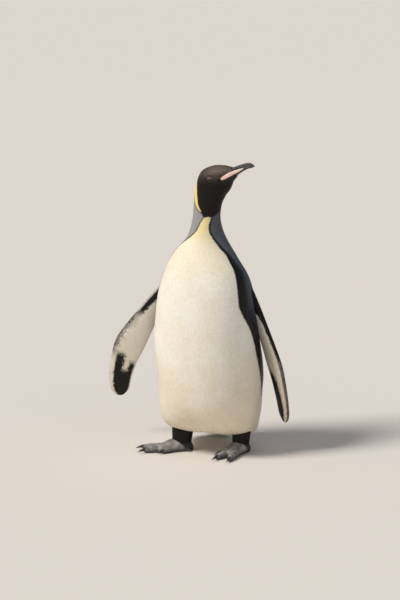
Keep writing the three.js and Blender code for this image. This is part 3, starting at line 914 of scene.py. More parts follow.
def lay_vanes(point_at, u, angle, toward, tilt, length, width, depth, lift):
    """Points of closed vanes, one row of eight for each root, in millimetres.

    A vane starts at its root, sunk by the coat's depth, and follows the surface for its length while
    it rises as 1 - (1 - t)^2 to lift above it. The step in u and in angle that leads there comes
    from the surface's two slopes at the root, by solving the two equations of a tangent vector.
    toward is 1 where the coat lies towards higher u and -1 where it lies towards lower u. tilt turns
    a vane in the surface, in radians. The second array holds a normal for each point: the body's own,
    leaning out by CAMBER at the vane's rim, so that light runs over the coat as over satin. The
    third holds each point's u and angle on the map.
    """
    along, around = (slope / (2 * SMALL) for slope in slopes(point_at, u, angle))
    normal = unit(np.cross(around, along))
    lie = unit(along) * toward
    side = np.cross(normal, lie)
    lie = lie * np.cos(tilt)[:, None] + side * np.sin(tilt)[:, None]
    uu, ua, aa = dot(along, along)[:, 0], dot(along, around)[:, 0], dot(around, around)[:, 0]
    det = np.maximum(uu * aa - ua * ua, 1e-6)

    def map_step(vector):
        lu, la = dot(vector, along)[:, 0], dot(vector, around)[:, 0]
        return (aa * lu - ua * la) / det, (uu * la - ua * lu) / det

    du, da = map_step(lie * length[:, None])
    tip_normal = outward(point_at, u + du, angle + da)
    side = unit(np.cross(normal, lie))
    side_u, side_a = map_step(side * (width / 2)[:, None])
    places = np.stack([u[:, None] + du[:, None] * VANE_ALONG + side_u[:, None] * VANE_ACROSS,
                       angle[:, None] + da[:, None] * VANE_ALONG + side_a[:, None] * VANE_ACROSS])

    def spine(t, rise=0.0):
        height = lift - (depth + lift) * (1 - t) ** 2 + rise
        out = unit(normal * (1 - t) + tip_normal * t)
        place = point_at(np.clip(u + du * t, 0, 1), angle + da * t)
        return moved(place, (out, height)), out

    half = (width / 2)[:, None]
    points, normals = np.empty((2, len(u), 8, 3))
    points[:, 0], normals[:, 0] = spine(0.0)
    for first, (t, wide, edge) in zip((1, 3), VANE_EDGES):
        middle, out = spine(t)
        for number, across in ((first, -1), (first + 1, 1)):
            points[:, number] = middle + side * half * wide * across + out * half * edge
            normals[:, number] = out + side * across * CAMBER
    points[:, 5], out = spine(1.0)
    normals[:, 5] = out + lie * CAMBER
    points[:, 6], normals[:, 6] = spine(VANE_ALONG[6], VANE_THICK / 2 * width)
    points[:, 7], normals[:, 7] = spine(VANE_ALONG[7], -VANE_THICK / 2 * width)
    return points, unit(normals), places


# %% A piece of the coat


def coat_piece(name, vanes, unwrap, marks, tone):
    """One object of many vanes, with its marks, its tone and place on the vane, and its OFBake map.

    On that map a vane is a patch TUFT_PATCH across, at the place of its root on the unwrapped skin.
    """
    points, normals = vanes
    count = len(points)
    faces = (VANE_FACES[None] + 8 * np.arange(count)[:, None, None]).reshape(-1, 3)
    piece = put_mesh(name, placed(points.reshape(-1, 3)), tris=faces)
    put_values(piece, "custom_normal", normals, "FLOAT_VECTOR")
    patch = np.stack([VANE_ACROSS / 2, VANE_ALONG - 0.5], -1) * TUFT_PATCH
    low, high = unwrap.min(0), unwrap.max(0)
    root = TUFT_PATCH + (unwrap - low) / (high - low) * (1 - 2 * TUFT_PATCH)
    uv = (root[:, None] + patch[None]).reshape(-1, 2)
    layer = piece.data.uv_layers.new(name="OFBake")
    layer.data.foreach_set("uv", uv[corners(piece)].astype(np.float32).ravel())
    vane = np.stack([np.repeat(tone, 8), np.tile(VANE_ALONG, count),
                     np.tile(np.abs(VANE_ACROSS), count), np.ones(8 * count)], -1)
    put_values(piece, "marks", marks)
    put_values(piece, "vane", vane)
    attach(piece, "root")
    coat_pieces.append(piece)
    print(name + ":", count, "vanes,", len(faces), "triangles")


coat_pieces = []

# %% [markdown]
# ## Feathers of the body
# The rows run from the rump to the bill. Vanes get smaller up the neck and are smallest on the face.
# Roots under the bill's plates, round the eyes and on the horn of the bill are left out.

# %% Where no feather grows


def head_plane(points):
    """Forward reach, height and leftward reach of points of the build, in the head's own plane."""
    offset = points - (NECK_AXIS[0], NECK_AXIS[1], 0)
    return offset @ ahead(HEAD_TURN), points[:, 2], offset @ ahead(HEAD_TURN + 90)


# forward, height, half height, outer reach of the bare plate on each side of the lower bill
PLATE_RINGS = (
    (58, 820.6, 4.2, 27.1), (67, 825.8, 5.4, 25.2), (80, 834, 5.8, 20.3),
    (94, 841.6, 5, 14), (107, 847.8, 3.6, 9.6), (121, 854.6, 1, 6.3),
)
EYE_BARE = {"half_length": 9.4, "half_height": 7.2}
CHEEK_HEIGHT = 780
# how far forward feathers grow on the top, side and underside of the bill's root
FEATHER_LINE = {"top": 84, "side": 88, "chin": 100}


def bare(points):
    """True where no feather grows: the lids, the plates and the horn of the bill.

    The line where the horn begins is further back on the top than on the side and the chin, and
    rising tells which of them a point is on, from its height over the plate's middle.
    """
    forward, height, left = head_plane(points)
    high = height > CHEEK_HEIGHT
    round_eye = np.hypot((forward - EYE["forward"]) / EYE_BARE["half_length"],
                         (height - EYE["height"]) / EYE_BARE["half_height"]) < 1
    plate = np.array(PLATE_RINGS)
    middle, reach = (np.interp(forward, plate[:, 0], plate[:, k]) for k in (1, 2))
    beside = (forward > plate[0, 0] - 3) & (forward < plate[-1, 0])
    on_plate = beside & (np.abs(height - middle) < 1.12 * reach + 0.3)
    rising = height - (middle + 6)
    line = np.select([rising > 8, rising > -8], [FEATHER_LINE["top"], FEATHER_LINE["side"]],
                     FEATHER_LINE["chin"])
    out = np.abs(left)
    return high & ((round_eye & (out > 15)) | (on_plate & (out > 5)) | (forward > line))


# %% Body feathers
# part of the body's map that is feathered, and the share of chance in the vanes' lift at each u
FEATHERED = (0.012, 0.985)
LIFT_SHARE = ((0, 1), (0.6, 1), (0.8, 0.6), (1, 0.3))
# a vane whose tip lands further off than this many lengths is left out
LONGEST = 1.3

u, angle = scatter(body_point, lambda v: coat_at(v)[0], lambda v: coat_at(v)[1], *FEATHERED)
_, _, length, width, depth = coat_at(u)
count = len(u)
length = length * dice.uniform(0.86, 1.12, count)
width = width * dice.uniform(0.9, 1.1, count)
tilt = dice.normal(0, 0.09, count)
lift = dice.uniform(-0.06, 0.12, count) * read_off(LIFT_SHARE, u)
points, normals, places = lay_vanes(body_point, u, angle, -1, tilt, length, width, depth, lift)
rough_u, rough_angle = dice.normal(0, 0.0004, (count, 1)), dice.normal(0, 0.006, (count, 1))
marks = body_marks(places[0] + rough_u, places[1] + rough_angle)
stretched = np.linalg.norm(points[:, 5] - points[:, 0], axis=-1) >= LONGEST * length
grown = ~(bare(points[:, 0]) | bare(points[:, 5]) | bare(points[:, 6]) | stretched)
print("stretched vanes left out:", stretched.sum())
tone = dice.random(count)

# %% Regions of the body's coat
# The lowest u of each, and the half angles in degrees of the front and of all but the back.
LOWEST = {"head": 0.745, "neck": 0.6, "breast": 0.385, "back": 0.3}
FRONT_HALF, BACK_FROM = 60, 118

degrees = signed_degrees(angle)
unwrap = np.stack([degrees, u], -1)
head, trunk = u > LOWEST["head"], u <= LOWEST["neck"]
front, back = np.abs(degrees) < FRONT_HALF, np.abs(degrees) >= BACK_FROM
flank, to_left = trunk & ~front & ~back, degrees > 0
REGIONS = {
    "head_feathers": head,
    "neck_feathers": ~trunk & ~head,
    "breast_feathers": trunk & front & (u > LOWEST["breast"]),
    "belly_feathers": front & (u <= LOWEST["breast"]),
    "left_side_feathers": flank & to_left,
    "right_side_feathers": flank & ~to_left,
    "back_feathers": trunk & back & (u > LOWEST["back"]),
    "rump_feathers": back & (u <= LOWEST["back"]),
}
for name, chosen in REGIONS.items():
    chosen = chosen & grown
    place_on_map = unwrap[chosen]
    if name in ("back_feathers", "rump_feathers"):
        place_on_map = np.stack([place_on_map[:, 0] % 360, place_on_map[:, 1]], -1)
    slot_name = "hood_plumage" if name == "head_feathers" else "body_plumage"
    vanes = points[chosen], normals[chosen]
    coat_piece(name, vanes, place_on_map, marks[chosen], tone[chosen])

# %% Flipper feathers
FLIPPER_COAT = {"along": 3.1, "round": 2.4, "length": 7.5, "width": 3.3, "depth": 1.2, "lift": 0.15}


def limb_coat(name, point_at, marks_at, coat, low, high, toward, keep=None):
    """The small close feathers of one limb, laid out as the body's are."""
    u, angle = scatter(
        point_at, lambda v: coat["along"] + 0 * v, lambda v: coat["round"] + 0 * v, low, high)
    if keep is not None:
        kept = keep(point_at(u, angle))
        u, angle = u[kept], angle[kept]
    count = len(u)
    length = coat["length"] * dice.uniform(0.85, 1.12, count)
    width = coat["width"] * dice.uniform(0.9, 1.1, count)
    lift = coat["lift"] * dice.uniform(-0.5, 1, count)
    depth = np.full(count, coat["depth"])
    points, normals, places = lay_vanes(
        point_at, u, angle, toward, dice.normal(0, 0.07, count), length, width, depth, lift)
    unwrap = np.stack([angle, u], -1)
    coat_piece(name, (points, normals), unwrap, marks_at(*places), dice.random(count))


# points of the trunk where the flippers leave it, and the body's normals there
trunk_map = np.broadcast_arrays(np.linspace(0.3, 0.62, 70)[:, None], ring_angles(90))
trunk_points = body_point(*trunk_map).reshape(-1, 3)
trunk_normals = outward(body_point, *trunk_map).reshape(-1, 3)


def outside_body(points, deep=2.0):
    """True for points less than deep inside the trunk, by the normal of the nearest of its points."""
    nearest = np.empty(len(points), int)
    for some in np.array_split(np.arange(len(points)), 40):
        nearest[some] = ((points[some, None] - trunk_points[None]) ** 2).sum(-1).argmin(1)
    return dot(points - trunk_points[nearest], trunk_normals[nearest])[:, 0] > -deep


for side in SIDES:
    limb_coat(
        f"flipper_feathers_{side}",
        lambda u, angle, side=side: flipper_point(side, u, angle),
        lambda u, angle, side=side: flipper_marks(side, u, angle, dice.normal(0, 1, (len(u), 1))),
        FLIPPER_COAT, 0.08, 0.995, 1, outside_body)

# %% Leg feathers
LEG_COAT = {"along": 3.0, "round": 2.6, "length": 10, "width": 3.6, "depth": 2.4, "lift": 0.6}
for side in SIDES:
    limb_coat(
        f"leg_feathers_{side}",
        lambda u, angle, side=side: leg_point(side, u, angle),
        lambda u, angle: flat_marks(u.shape),
        LEG_COAT, 0.0, 0.72, -1)

# %% [markdown]
# ## The tail
# A king penguin's tail is a short fan of stiff narrow feathers that props it on the ground. Each is a
# long blade: its width narrows along it as 1 - t^5, and its middle is raised so that it sheds water.

# %% Tail blades and coverts
# Root and tip are places on the tail's map, and the outer blades end shorter by curve. Every second
# blade lies under its neighbours: under is its share of their height over the tail's middle.
TAIL_BLADES = {
    "count": 15, "width": 12, "thick": 1.1, "root": 0.72, "tip": 0.02, "curve": 0.1, "under": 0.45,
    "rows": 26, "sides": 10,
}


def tail_blade(number):
    """One blade: its line runs along the tail's map at its own sideways place, from root to tip."""
    share = number / (TAIL_BLADES["count"] - 1) * 2 - 1
    t, around = grid(TAIL_BLADES["rows"], TAIL_BLADES["sides"])
    u = TAIL_BLADES["root"] * (1 - t) + (TAIL_BLADES["tip"] + TAIL_BLADES["curve"] * share * share) * t
    forward, height, half_width, half_thick = rows_at(TAIL_RINGS, u)
    back = (1 if number % 2 else TAIL_BLADES["under"]) * (half_thick + 0.6)
    middle = in_plane(forward - TAIL_LEAN[0] * back, height - TAIL_LEAN[1] * back, TAIL_TURN)
    aside = share * (half_width - 4) * np.sqrt(1 - 0.3 * t)
    width = TAIL_BLADES["width"] / 2 * np.maximum(0.06, 1 - t ** 5) * (0.55 + 0.45 * step(0, 0.3, t))
    out = unit(ahead(TAIL_TURN) * -0.8 + np.array([0, 0, -0.25]))
    camber = (1 - np.abs(np.cos(around))) * 0.9 + np.sin(around) * TAIL_BLADES["thick"] / 2
    points = moved(middle, (ahead(TAIL_TURN + 90), aside + np.cos(around) * width), (out, camber))
    points[..., 2] = np.maximum(points[..., 2], 0.3)
    return closed_tube(placed(points))


blades = [tail_blade(number) for number in range(TAIL_BLADES["count"])]
tail = put_mesh("tail_feathers", *joined(blades))
print("tail blades:", len(blades))
put_values(tail, "marks", flat_marks((len(tail.data.vertices),)))
put_values(tail, "vane", np.full((len(tail.data.vertices), 4), 0.4))
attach(tail, "root")


def tail_marks(u, angle):
    """Slate where the coverts leave the rump, black towards the tip, and white under the tail."""
    above = step(0.25, -0.05, np.cos(angle))
    return np.stack([above * step(0.8, 0.5, u), above, 0 * u, 0 * u], -1)


TAIL_COAT = {"along": 4.2, "round": 3.4, "length": 18, "width": 5.4, "depth": 2.0, "lift": 0.7}
limb_coat("tail_coverts", tail_point, tail_marks, TAIL_COAT, 0.35, 0.95, -1)

# %% [markdown]
# ## The bill
# The upper bill is a dark horn sheath with a groove that runs forward from the nostril. Under it the
# lower bill is mostly hidden by a smooth coloured plate on each side. Each is a stack of rings in
# the head's plane, with the groove pressed in by a formula of the ring's angle and its place.

# %% Horn of the bill
# forward and height of the top, forward and height of the bottom, half width
UPPER_BILL = (
    (76, 850, 81, 838.5, 9.5), (98, 859.5, 102.5, 851, 7.6), (115, 866, 118.5, 855.5, 6),
    (132, 871, 134.5, 860, 4.8), (143, 870, 143.5, 860.5, 3.8), (150, 866.5, 149.5, 859.5, 2.8),
    (154, 862.5, 153.2, 860.2, 1.2),
)
LOWER_BILL = (
    (81.4, 839.6, 92, 827, 8), (102.6, 852.6, 109.5, 839.6, 7.2), (118.4, 858, 122.5, 848, 5.4),
    (134.4, 862, 137, 854.6, 3.9), (146.4, 861.6, 147.4, 857, 2.2),
)
# how far up the side the groove runs, as a cosine, and where along the bill the nostril opens
GROOVE_UP = 0.18
NOSTRIL_AT = 0.22


def bill_surface(rings, groove_deep, groove_end, ridge):
    """Rings from top to bottom points, the half width by the sine.

    The groove is a dent that runs along the side and fades at groove_end, with the nostril in it.
    ridge sharpens the top.
    """
    u, angle = grid(110, 56)
    top_x, top_z, low_x, low_z, half_width = rows_at(rings, u)
    c, s = swell(angle, FULLNESS["bill"])
    from_groove = c + GROOVE_UP
    fade = step(0.0, 0.1, u) * step(groove_end, groove_end - 0.25, u)
    dent = np.exp(-(from_groove / 0.2) ** 2) * fade
    nostril = np.exp(-(from_groove / 0.13) ** 2 - ((u - NOSTRIL_AT) / 0.05) ** 2)
    narrow = 1 - ridge * step(-0.2, -1, c)
    across = s * (half_width * narrow - (groove_deep * dent + 1.1 * groove_deep * nostril) * np.abs(s))
    top, low = in_plane(top_x, top_z, HEAD_TURN), in_plane(low_x, low_z, HEAD_TURN)
    centre = (top + low) / 2
    return moved(centre, (low - centre, c), (ahead(HEAD_TURN + 90), across))


def hard_piece(name, surface, node):
    """A closed piece from its rings in millimetres, in place of one solid."""
    piece = put_mesh(name, *closed_tube(placed(surface)))
    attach(piece, "root")
    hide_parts(node)
    print(name + ":", len(piece.data.polygons), "faces")
    return piece


upper_shape = bill_surface(UPPER_BILL, groove_deep=0.75, groove_end=0.75, ridge=0.18)
lower_shape = bill_surface(LOWER_BILL, groove_deep=0, groove_end=0.5, ridge=0)
upper_bill = hard_piece("upper_bill", upper_shape, "bill_upper")
lower_bill = hard_piece("lower_bill", lower_shape, "bill_lower")

# %% Plates of the lower bill
PLATE_THICK = 3.2
# how steeply the plate runs up, in degrees, and where counted from its front its root turns blunt
PLATE_RISE = 27
PLATE_END = 0.9


def plate_surface(side):
    """A flat bar along the lower bill: its height by the cosine, its outer face by the sine."""
    u, angle = grid(90, 40)
    forward, height, half, reach = rows_at(PLATE_RINGS, u)
    c, s = swell(angle, FULLNESS["plate"])
    across = c * half * blunt_end(1 - u, PLATE_END, 0.05)
    rise = math.radians(PLATE_RISE)
    out = reach - PLATE_THICK / 2 + s * PLATE_THICK / 2 - 0.25 * c * c
    point = in_plane(forward - across * math.sin(rise), height + across * math.cos(rise), HEAD_TURN)
    return moved(point, (ahead(HEAD_TURN + 90), HANDS[side] * out))


plates = [hard_piece(f"plate_{side}_horn", plate_surface(side), f"plate_{side}")
          for side in HANDS]

# %% Eyes
# degrees by which each eye looks forward of straight out
EYE_LOOK = 12


def eye_piece(side):
    """A ball that bulges a little over the iris. Its ring attribute is the angle from its look."""
    centre, forward, out = eye_frame(side)
    look = unit(out + forward * math.tan(math.radians(EYE_LOOK)))
    points = ball((0, 0, 0), 1.0, 60, 80)
    off_look = np.degrees(np.arccos(np.clip(points @ look, -1, 1)))
    bulge = 1 + 0.012 * step(34, 20, off_look)
    surface = moved(centre, (points, EYE["radius"] * bulge))
    piece = hard_piece(f"eyeball_{side}", surface, f"eye_{side}")
    put_values(piece, "ring", with_poles(off_look[..., None]), "FLOAT")
    return piece


eyeballs = [eye_piece(side) for side in HANDS]

# %% Claws
# rooted is how far a claw starts inside its toe, and rise its root's height over the toe's middle
CLAW = {
    "length": 27, "radius": 5.4, "flatness": 0.8, "drop": 6.3, "point": 0.12, "rooted": 8, "rise": 3,
}
HIND_CLAW_SCALE = 0.5


def claw_surface(side, name):
    """A round bar, a little flat, that thins as 1 - u^1.5 to its point and drops as u squared."""
    toe, scale = TOES[name], HIND_CLAW_SCALE if name == "hind" else 1.0
    u, angle = grid(44, 26)
    radius = CLAW["radius"] * scale * np.maximum(CLAW["point"], 1 - u ** 1.5)
    x = toe["length"] + scale * (u * CLAW["length"] - CLAW["rooted"])
    y = -CLAW["flatness"] * radius * np.cos(angle)
    root_z = toe["height"] * TOE_MIDDLE * (1 - TOE_TAPER) + CLAW["rise"] * scale
    z = root_z - CLAW["drop"] * scale * u * u + radius * np.sin(angle)
    return limb_place(turned(x, y, np.maximum(z, 0.4), toe["heading"] * HANDS[side]), side)


claws = [
    hard_piece(f"horn_{name}_{side}", claw_surface(side, name), f"claw_{name}_{side}")
    for side in HANDS for name in TOES
]

# %% [markdown]
# ## Finishes
# Colours vary over the bird by the marks on its map, so the materials read those attributes and add
# what is fine: the tone of each feather, its paler tip, worn horn and cracked skin. Some light and
# shade is painted in too: a sheen on the crown, and shade low on the feet and on the heel. The node
# trees are written as sums: a small class lets Python's own signs add the Math nodes.

# %% Sums of sockets


def add_node(tree, kind, settings=None, inputs=None):
    """Any node: its settings are set first, then its sockets are linked to wires or given values."""
    made = tree.nodes.new(kind)
    for label, value in (settings or {}).items():
        setattr(made, label, value)
    for label, value in (inputs or {}).items():
        if isinstance(value, Wire):
            tree.links.new(value.socket, made.inputs[label])
        else:
            made.inputs[label].default_value = value
    return made


class Wire:
    """A number that flows from a socket. Signs and methods on it add Math nodes to its tree."""

    def __init__(self, tree, socket):
        self.tree, self.socket = tree, socket

    def maths(self, operation, first, second):
        made = add_node(self.tree, "ShaderNodeMath", {"operation": operation}, {0: first, 1: second})
        return Wire(self.tree, made.outputs[0])

    def __add__(self, other):
        return self.maths("ADD", self, other)

    def __radd__(self, other):
        return self.maths("ADD", other, self)

    def __sub__(self, other):
        return self.maths("SUBTRACT", self, other)

    def __rsub__(self, other):
        return self.maths("SUBTRACT", other, self)

    def __mul__(self, other):
        return self.maths("MULTIPLY", self, other)

    def __rmul__(self, other):
        return self.maths("MULTIPLY", other, self)

    def rising(self, low, high):
        """0 up to low and 1 from high on, with a smooth S between."""
        made = add_node(self.tree, "ShaderNodeMapRange", {"interpolation_type": "SMOOTHSTEP"}, {
            "Value": self, "From Min": low, "From Max": high})
        return Wire(self.tree, made.outputs["Result"])

    def falling(self, low, high):
        return 1 - self.rising(low, high)


# %% A material and its nodes


def linear(red, green, blue):
    """A colour written as 0 to 255 on a screen, as the linear numbers that light adds in."""
    screen = np.array([red, green, blue]) / 255
    values = np.where(screen <= 0.04045, screen / 12.92, ((screen + 0.055) / 1.055) ** 2.4)
    return (*values.tolist(), 1.0)


class Finish:
    """One material. Constants sit on the shader's own sockets, and what varies is linked to them."""

    def __init__(self, name, **constants):
        self.material = bpy.data.materials.new(name)
        self.material.use_nodes = True
        self.tree = self.material.node_tree
        self.shader = self.tree.nodes["Principled BSDF"]
        for label, value in constants.items():
            socket = label.replace("_", " ").title().replace("Ior", "IOR")
            self.shader.inputs[socket].default_value = value

    def wire(self, output, kind, settings=None, inputs=None):
        """The wire from one output of a new node."""
        return Wire(self.tree, add_node(self.tree, kind, settings, inputs).outputs[output])

    def place(self):
        return self.wire("Object", "ShaderNodeTexCoord")

    def height(self):
        return self.wire("Z", "ShaderNodeSeparateXYZ", None, {"Vector": self.place()})

    def attribute(self, name):
        """Red, green, blue and alpha of a named attribute."""
        read = add_node(self.tree, "ShaderNodeAttribute", {"attribute_name": name})
        colour, alpha = (Wire(self.tree, read.outputs[output]) for output in ("Color", "Alpha"))
        split = add_node(self.tree, "ShaderNodeSeparateColor", None, {"Color": colour})
        return [Wire(self.tree, band) for band in split.outputs] + [alpha]

    def noise(self, scale, detail=3.0, stretch=None, roughness=0.5):
        """Noise on Object coordinates, about 0.5, scale in cells for each metre."""
        vector = self.place()
        if stretch is not None:
            vector = self.wire("Vector", "ShaderNodeVectorMath", {"operation": "MULTIPLY"}, {
                0: vector, 1: stretch})
        return self.wire("Fac", "ShaderNodeTexNoise", None, {
            "Vector": vector, "Scale": scale, "Detail": detail, "Roughness": roughness})

    def cells(self, scale):
        """Distance to the nearest edge between cells, scale in cells for each metre."""
        return self.wire("Distance", "ShaderNodeTexVoronoi", {"feature": "DISTANCE_TO_EDGE"}, {
            "Vector": self.place(), "Scale": scale})

    def mix(self, share, first, second):
        """Between two colours, each a tuple or a wire. Sockets 0, 6, 7 and 2 are those for colours."""
        return self.wire(2, "ShaderNodeMix", {"data_type": "RGBA", "clamp_factor": True}, {
            0: share, 6: first, 7: second})

    def bright(self, colour, amount):
        """A colour made lighter or darker by a factor."""
        return self.wire("Vector", "ShaderNodeVectorMath", {"operation": "SCALE"}, {
            0: colour, "Scale": amount})

    def feed(self, socket, value):
        self.tree.links.new(value.socket, self.shader.inputs[socket])

    def bump(self, height, strength, distance):
        self.feed("Normal", self.wire("Normal", "ShaderNodeBump", None, {
            "Height": height, "Strength": strength, "Distance": distance}))

    def on(self, *pieces):
        for piece in pieces:
            piece.data.materials.clear()
            piece.data.materials.append(self.material)


# %% Colours, from 0 to 255 on a screen
COLOURS = {
    "white": (250, 245, 233), "cream": (230, 214, 184), "gold": (249, 221, 122), "black": (24, 21, 21),
    "slate": (52, 56, 63), "slate tip": (96, 104, 117), "silver": (156, 153, 154),
    # hood sheen is a painted highlight on the crown's feather tips
    "hood": (21, 17, 14), "hood sheen": (132, 115, 100),
    # foot groove and shade darkens the grooves and cracks, and is the painted shade low on the feet and
    # on the heel
    "foot": (196, 189, 185), "foot blotch": (138, 132, 130), "foot groove and shade": (50, 46, 47),
    "lid": (112, 92, 79), "lid fleck": (92, 75, 65),
    "horn": (48, 50, 54), "worn horn": (104, 108, 113),
    "plate": (243, 211, 197), "plate blush": (224, 166, 146),
    "iris": (74, 44, 26), "iris fleck": (38, 22, 14), "eye rim": (24, 18, 15), "pupil": (6, 5, 5),
    "claw": (34, 31, 31), "worn claw": (82, 76, 72), "floor": (233, 226, 219),
}
PAINT = {name: linear(*numbers) for name, numbers in COLOURS.items()}

# %% Plumage


def plumage_colour(finish):
    """Colour and darkness of a feather from its marks.

    White is warmed low on the belly and in soft clouds. Gold, slate and black are laid over it in
    that order. A slate feather is dark at its root and pale at its tip, the hood's are brown with
    a painted sheen of light on their tips on the crown, and every feather has a tone of its own.
    """
    black, slate, gold, silver = finish.attribute("marks")
    tone, along, _, _ = finish.attribute("vane")
    height = finish.height()
    clouds = finish.noise(9, 4, roughness=0.6)
    streaks = finish.noise(38, 3, stretch=(1, 1, 0.25))
    low = height.falling(0.08, 0.42)
    warm = low * 0.5 + (clouds - 0.4) * 1.3 + (streaks - 0.5) * 0.6
    white = finish.mix(warm, PAINT["white"], PAINT["cream"])
    golden = finish.mix(gold, white, PAINT["gold"])
    tips = along.rising(0.55, 1.0) * (tone * 0.5 + 0.5)
    back = finish.mix(tips, PAINT["slate"], PAINT["slate tip"])
    grey = finish.mix(silver, back, PAINT["silver"])
    # painted sheen: the crown's feather tips are lightened where light catches them
    crown_sheen = height.rising(0.8, 0.86) * along.rising(0.3, 0.9) * (0.35 + tone * 0.4)
    hood = finish.mix(crown_sheen, PAINT["hood"], PAINT["hood sheen"])
    dark = finish.mix(height.rising(0.68, 0.74), PAINT["black"], hood)
    colour = finish.mix(black, finish.mix(slate, golden, grey), dark)
    return finish.bright(colour, 0.93 + tone * 0.1 + (streaks - 0.5) * 0.12), black


plumage = Finish("plumage", specular_ior_level=0.2)
colour, darkness = plumage_colour(plumage)
plumage.feed("Base Color", colour)
plumage.feed("Roughness", 0.62 - darkness * 0.16)
plumage.bump(plumage.noise(900, 2), 0.25, 0.0004)
plumage.on(*coat_pieces, tail)

# %% Skin of the body, feet and lids
bare_skin = Finish("skin", specular_ior_level=0.4)
feathered, _ = plumage_colour(bare_skin)
foot, dark, lid, _ = bare_skin.attribute("kind")
cracks = bare_skin.cells(420).falling(0.02, 0.16)
blotches = bare_skin.noise(70, 4)
foot_top = bare_skin.mix(blotches.rising(0.35, 0.7), PAINT["foot"], PAINT["foot blotch"])
# painted shade: the feet darken towards the floor, between the toes and on the webs
low_foot_shade = bare_skin.height().falling(0.004, 0.019)
foot_with_low_shade = bare_skin.mix(low_foot_shade * 0.85, foot_top, PAINT["foot groove and shade"])
# dark holds the grooves and the painted shade on the heel
foot_colour = bare_skin.mix(dark * 0.85 + cracks * 0.4, foot_with_low_shade, PAINT["foot groove and shade"])
lid_colour = bare_skin.mix(bare_skin.noise(500, 3), PAINT["lid"], PAINT["lid fleck"])
body_colour = bare_skin.mix(foot, feathered, foot_colour)
bare_skin.feed("Base Color", bare_skin.mix(lid, body_colour, lid_colour))
bare_skin.feed("Roughness", 0.66 - foot * 0.1 - lid * 0.16 + cracks * 0.08)
bare_skin.bump((1 - cracks) * foot + bare_skin.noise(1400, 3) * 0.3, 0.5, 0.0006)
bare_skin.on(skin)

# %% Horn, plate and eye
horn = Finish("bill horn", specular_ior_level=0.45)
scratches = horn.noise(260, 4, stretch=(0.25, 1, 1))
horn_wear = horn.noise(60, 3).rising(0.45, 0.75)
horn.feed("Base Color", horn.mix(
    scratches * 0.4 + horn_wear * 0.35, PAINT["horn"], PAINT["worn horn"]))
horn.feed("Roughness", 0.34 + scratches * 0.22)
horn.bump(scratches, 0.3, 0.0003)
horn.on(upper_bill, lower_bill)

plate_horn = Finish("pink plate", specular_ior_level=0.5)
blush = plate_horn.noise(90, 3, stretch=(0.4, 1, 1))
plate_root = plate_horn.height().falling(0.812, 0.838)
plate_horn.feed("Base Color", plate_horn.mix(
    blush.rising(0.3, 0.7) * 0.6 + plate_root * 0.5, PAINT["plate"], PAINT["plate blush"]))
plate_horn.feed("Roughness", 0.28 + blush * 0.15)
plate_horn.bump(blush, 0.15, 0.0003)
plate_horn.on(*plates)

eye_wet = Finish("eye", roughness=0.06, specular_ior_level=0.6)
ring = eye_wet.wire("Fac", "ShaderNodeAttribute", {"attribute_name": "ring"})
iris = eye_wet.mix(eye_wet.noise(900, 3), PAINT["iris"], PAINT["iris fleck"])
iris_and_rim = eye_wet.mix(ring.rising(30, 36), iris, PAINT["eye rim"])
eye_wet.feed("Base Color", eye_wet.mix(ring.falling(11, 14), iris_and_rim, PAINT["pupil"]))
eye_wet.on(*eyeballs)

claw_horn = Finish("claw horn", specular_ior_level=0.5)
claw_grain = claw_horn.noise(500, 4, stretch=(1, 1, 0.4))
claw_horn.feed("Base Color", claw_horn.mix(
    claw_grain.rising(0.4, 0.75), PAINT["claw"], PAINT["worn claw"]))
claw_horn.feed("Roughness", 0.36 + claw_grain * 0.25)
claw_horn.bump(claw_grain, 0.3, 0.0003)
claw_horn.on(*claws)

# %% [markdown]
# ## Floor, light and camera
# The floor is one wide pale sheet, so that it fills the view up to its top edge. Lamps near the bird
# would leave the far floor dark. Broad suns light all of it evenly, and their wide angle keeps the
# shadows soft.

# %% Floor and lamps
CAMERA_SIDE = 25
CAMERA_RAISE = 12
CAMERA_DISTANCE = 8.0
PIXELS_PER_METRE = 341
IMAGE_HEIGHT = 600
LOOK_AT = {"right": -0.032, "height": 0.4515}

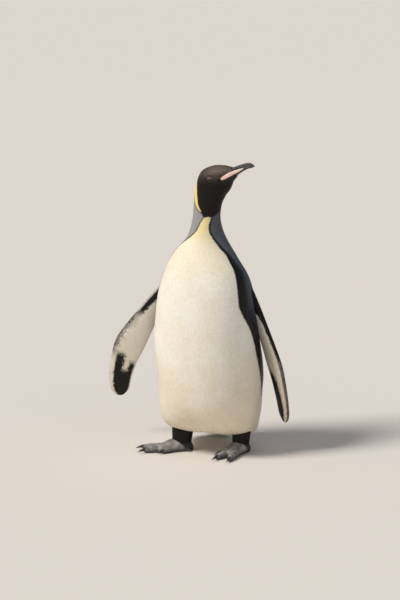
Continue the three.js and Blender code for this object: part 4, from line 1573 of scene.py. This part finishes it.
floor_points = np.array([(-60, -60, 0), (60, -60, 0), (60, 60, 0), (-60, 60, 0)], float)
floor = put_mesh("floor", floor_points, quads=np.array([[0, 1, 2, 3]]), smooth=False)
floor_paint = Finish("floor", roughness=0.9, specular_ior_level=0.1, base_color=PAINT["floor"])
floor_paint.on(floor)


def direction(side, raised):
    """Unit vector from the bird towards a place seen at an azimuth from -Y and an elevation."""
    side, raised = math.radians(side), math.radians(raised)
    level = math.cos(raised)
    return np.array([math.sin(side) * level, -math.cos(side) * level, math.sin(raised)])


def sun(name, side, raised, strength, spread, colour):
    lamp = bpy.data.lights.new(name, "SUN")
    lamp.energy, lamp.angle, lamp.color = strength, math.radians(spread), colour
    held = bpy.data.objects.new(name, lamp)
    held.rotation_euler = Vector(direction(side, raised)).to_track_quat("Z", "Y").to_euler()
    bpy.context.scene.collection.objects.link(held)


sun("key", CAMERA_SIDE - 66, 46, 2.6, 20, (1.0, 0.97, 0.92))
sun("fill", CAMERA_SIDE + 50, 30, 0.12, 90, (0.92, 0.96, 1.0))
world = bpy.data.worlds.new("studio")
bpy.context.scene.world = world
world.use_nodes = True
world.node_tree.nodes["Background"].inputs["Color"].default_value = (0.93, 0.96, 1.0, 1.0)
world.node_tree.nodes["Background"].inputs["Strength"].default_value = 0.31

# %% Camera
camera_data = bpy.data.cameras.new("camera")
camera_data.sensor_width = 36
camera_data.lens = PIXELS_PER_METRE * CAMERA_DISTANCE * camera_data.sensor_width / IMAGE_HEIGHT
camera = bpy.data.objects.new("camera", camera_data)
bpy.context.scene.collection.objects.link(camera)
side_way = math.radians(CAMERA_SIDE)
target = PLACE + np.array([math.cos(side_way), math.sin(side_way), 0]) * LOOK_AT["right"]
target[2] = LOOK_AT["height"]
towards = direction(CAMERA_SIDE, CAMERA_RAISE)
camera.location = target + towards * CAMERA_DISTANCE
camera.rotation_euler = Vector(towards).to_track_quat("Z", "Y").to_euler()
bpy.context.scene.camera = camera
bpy.context.scene.view_settings.view_transform = "Standard"
print("lens:", round(camera_data.lens, 1), "mm, camera at", [round(c, 2) for c in camera.location])
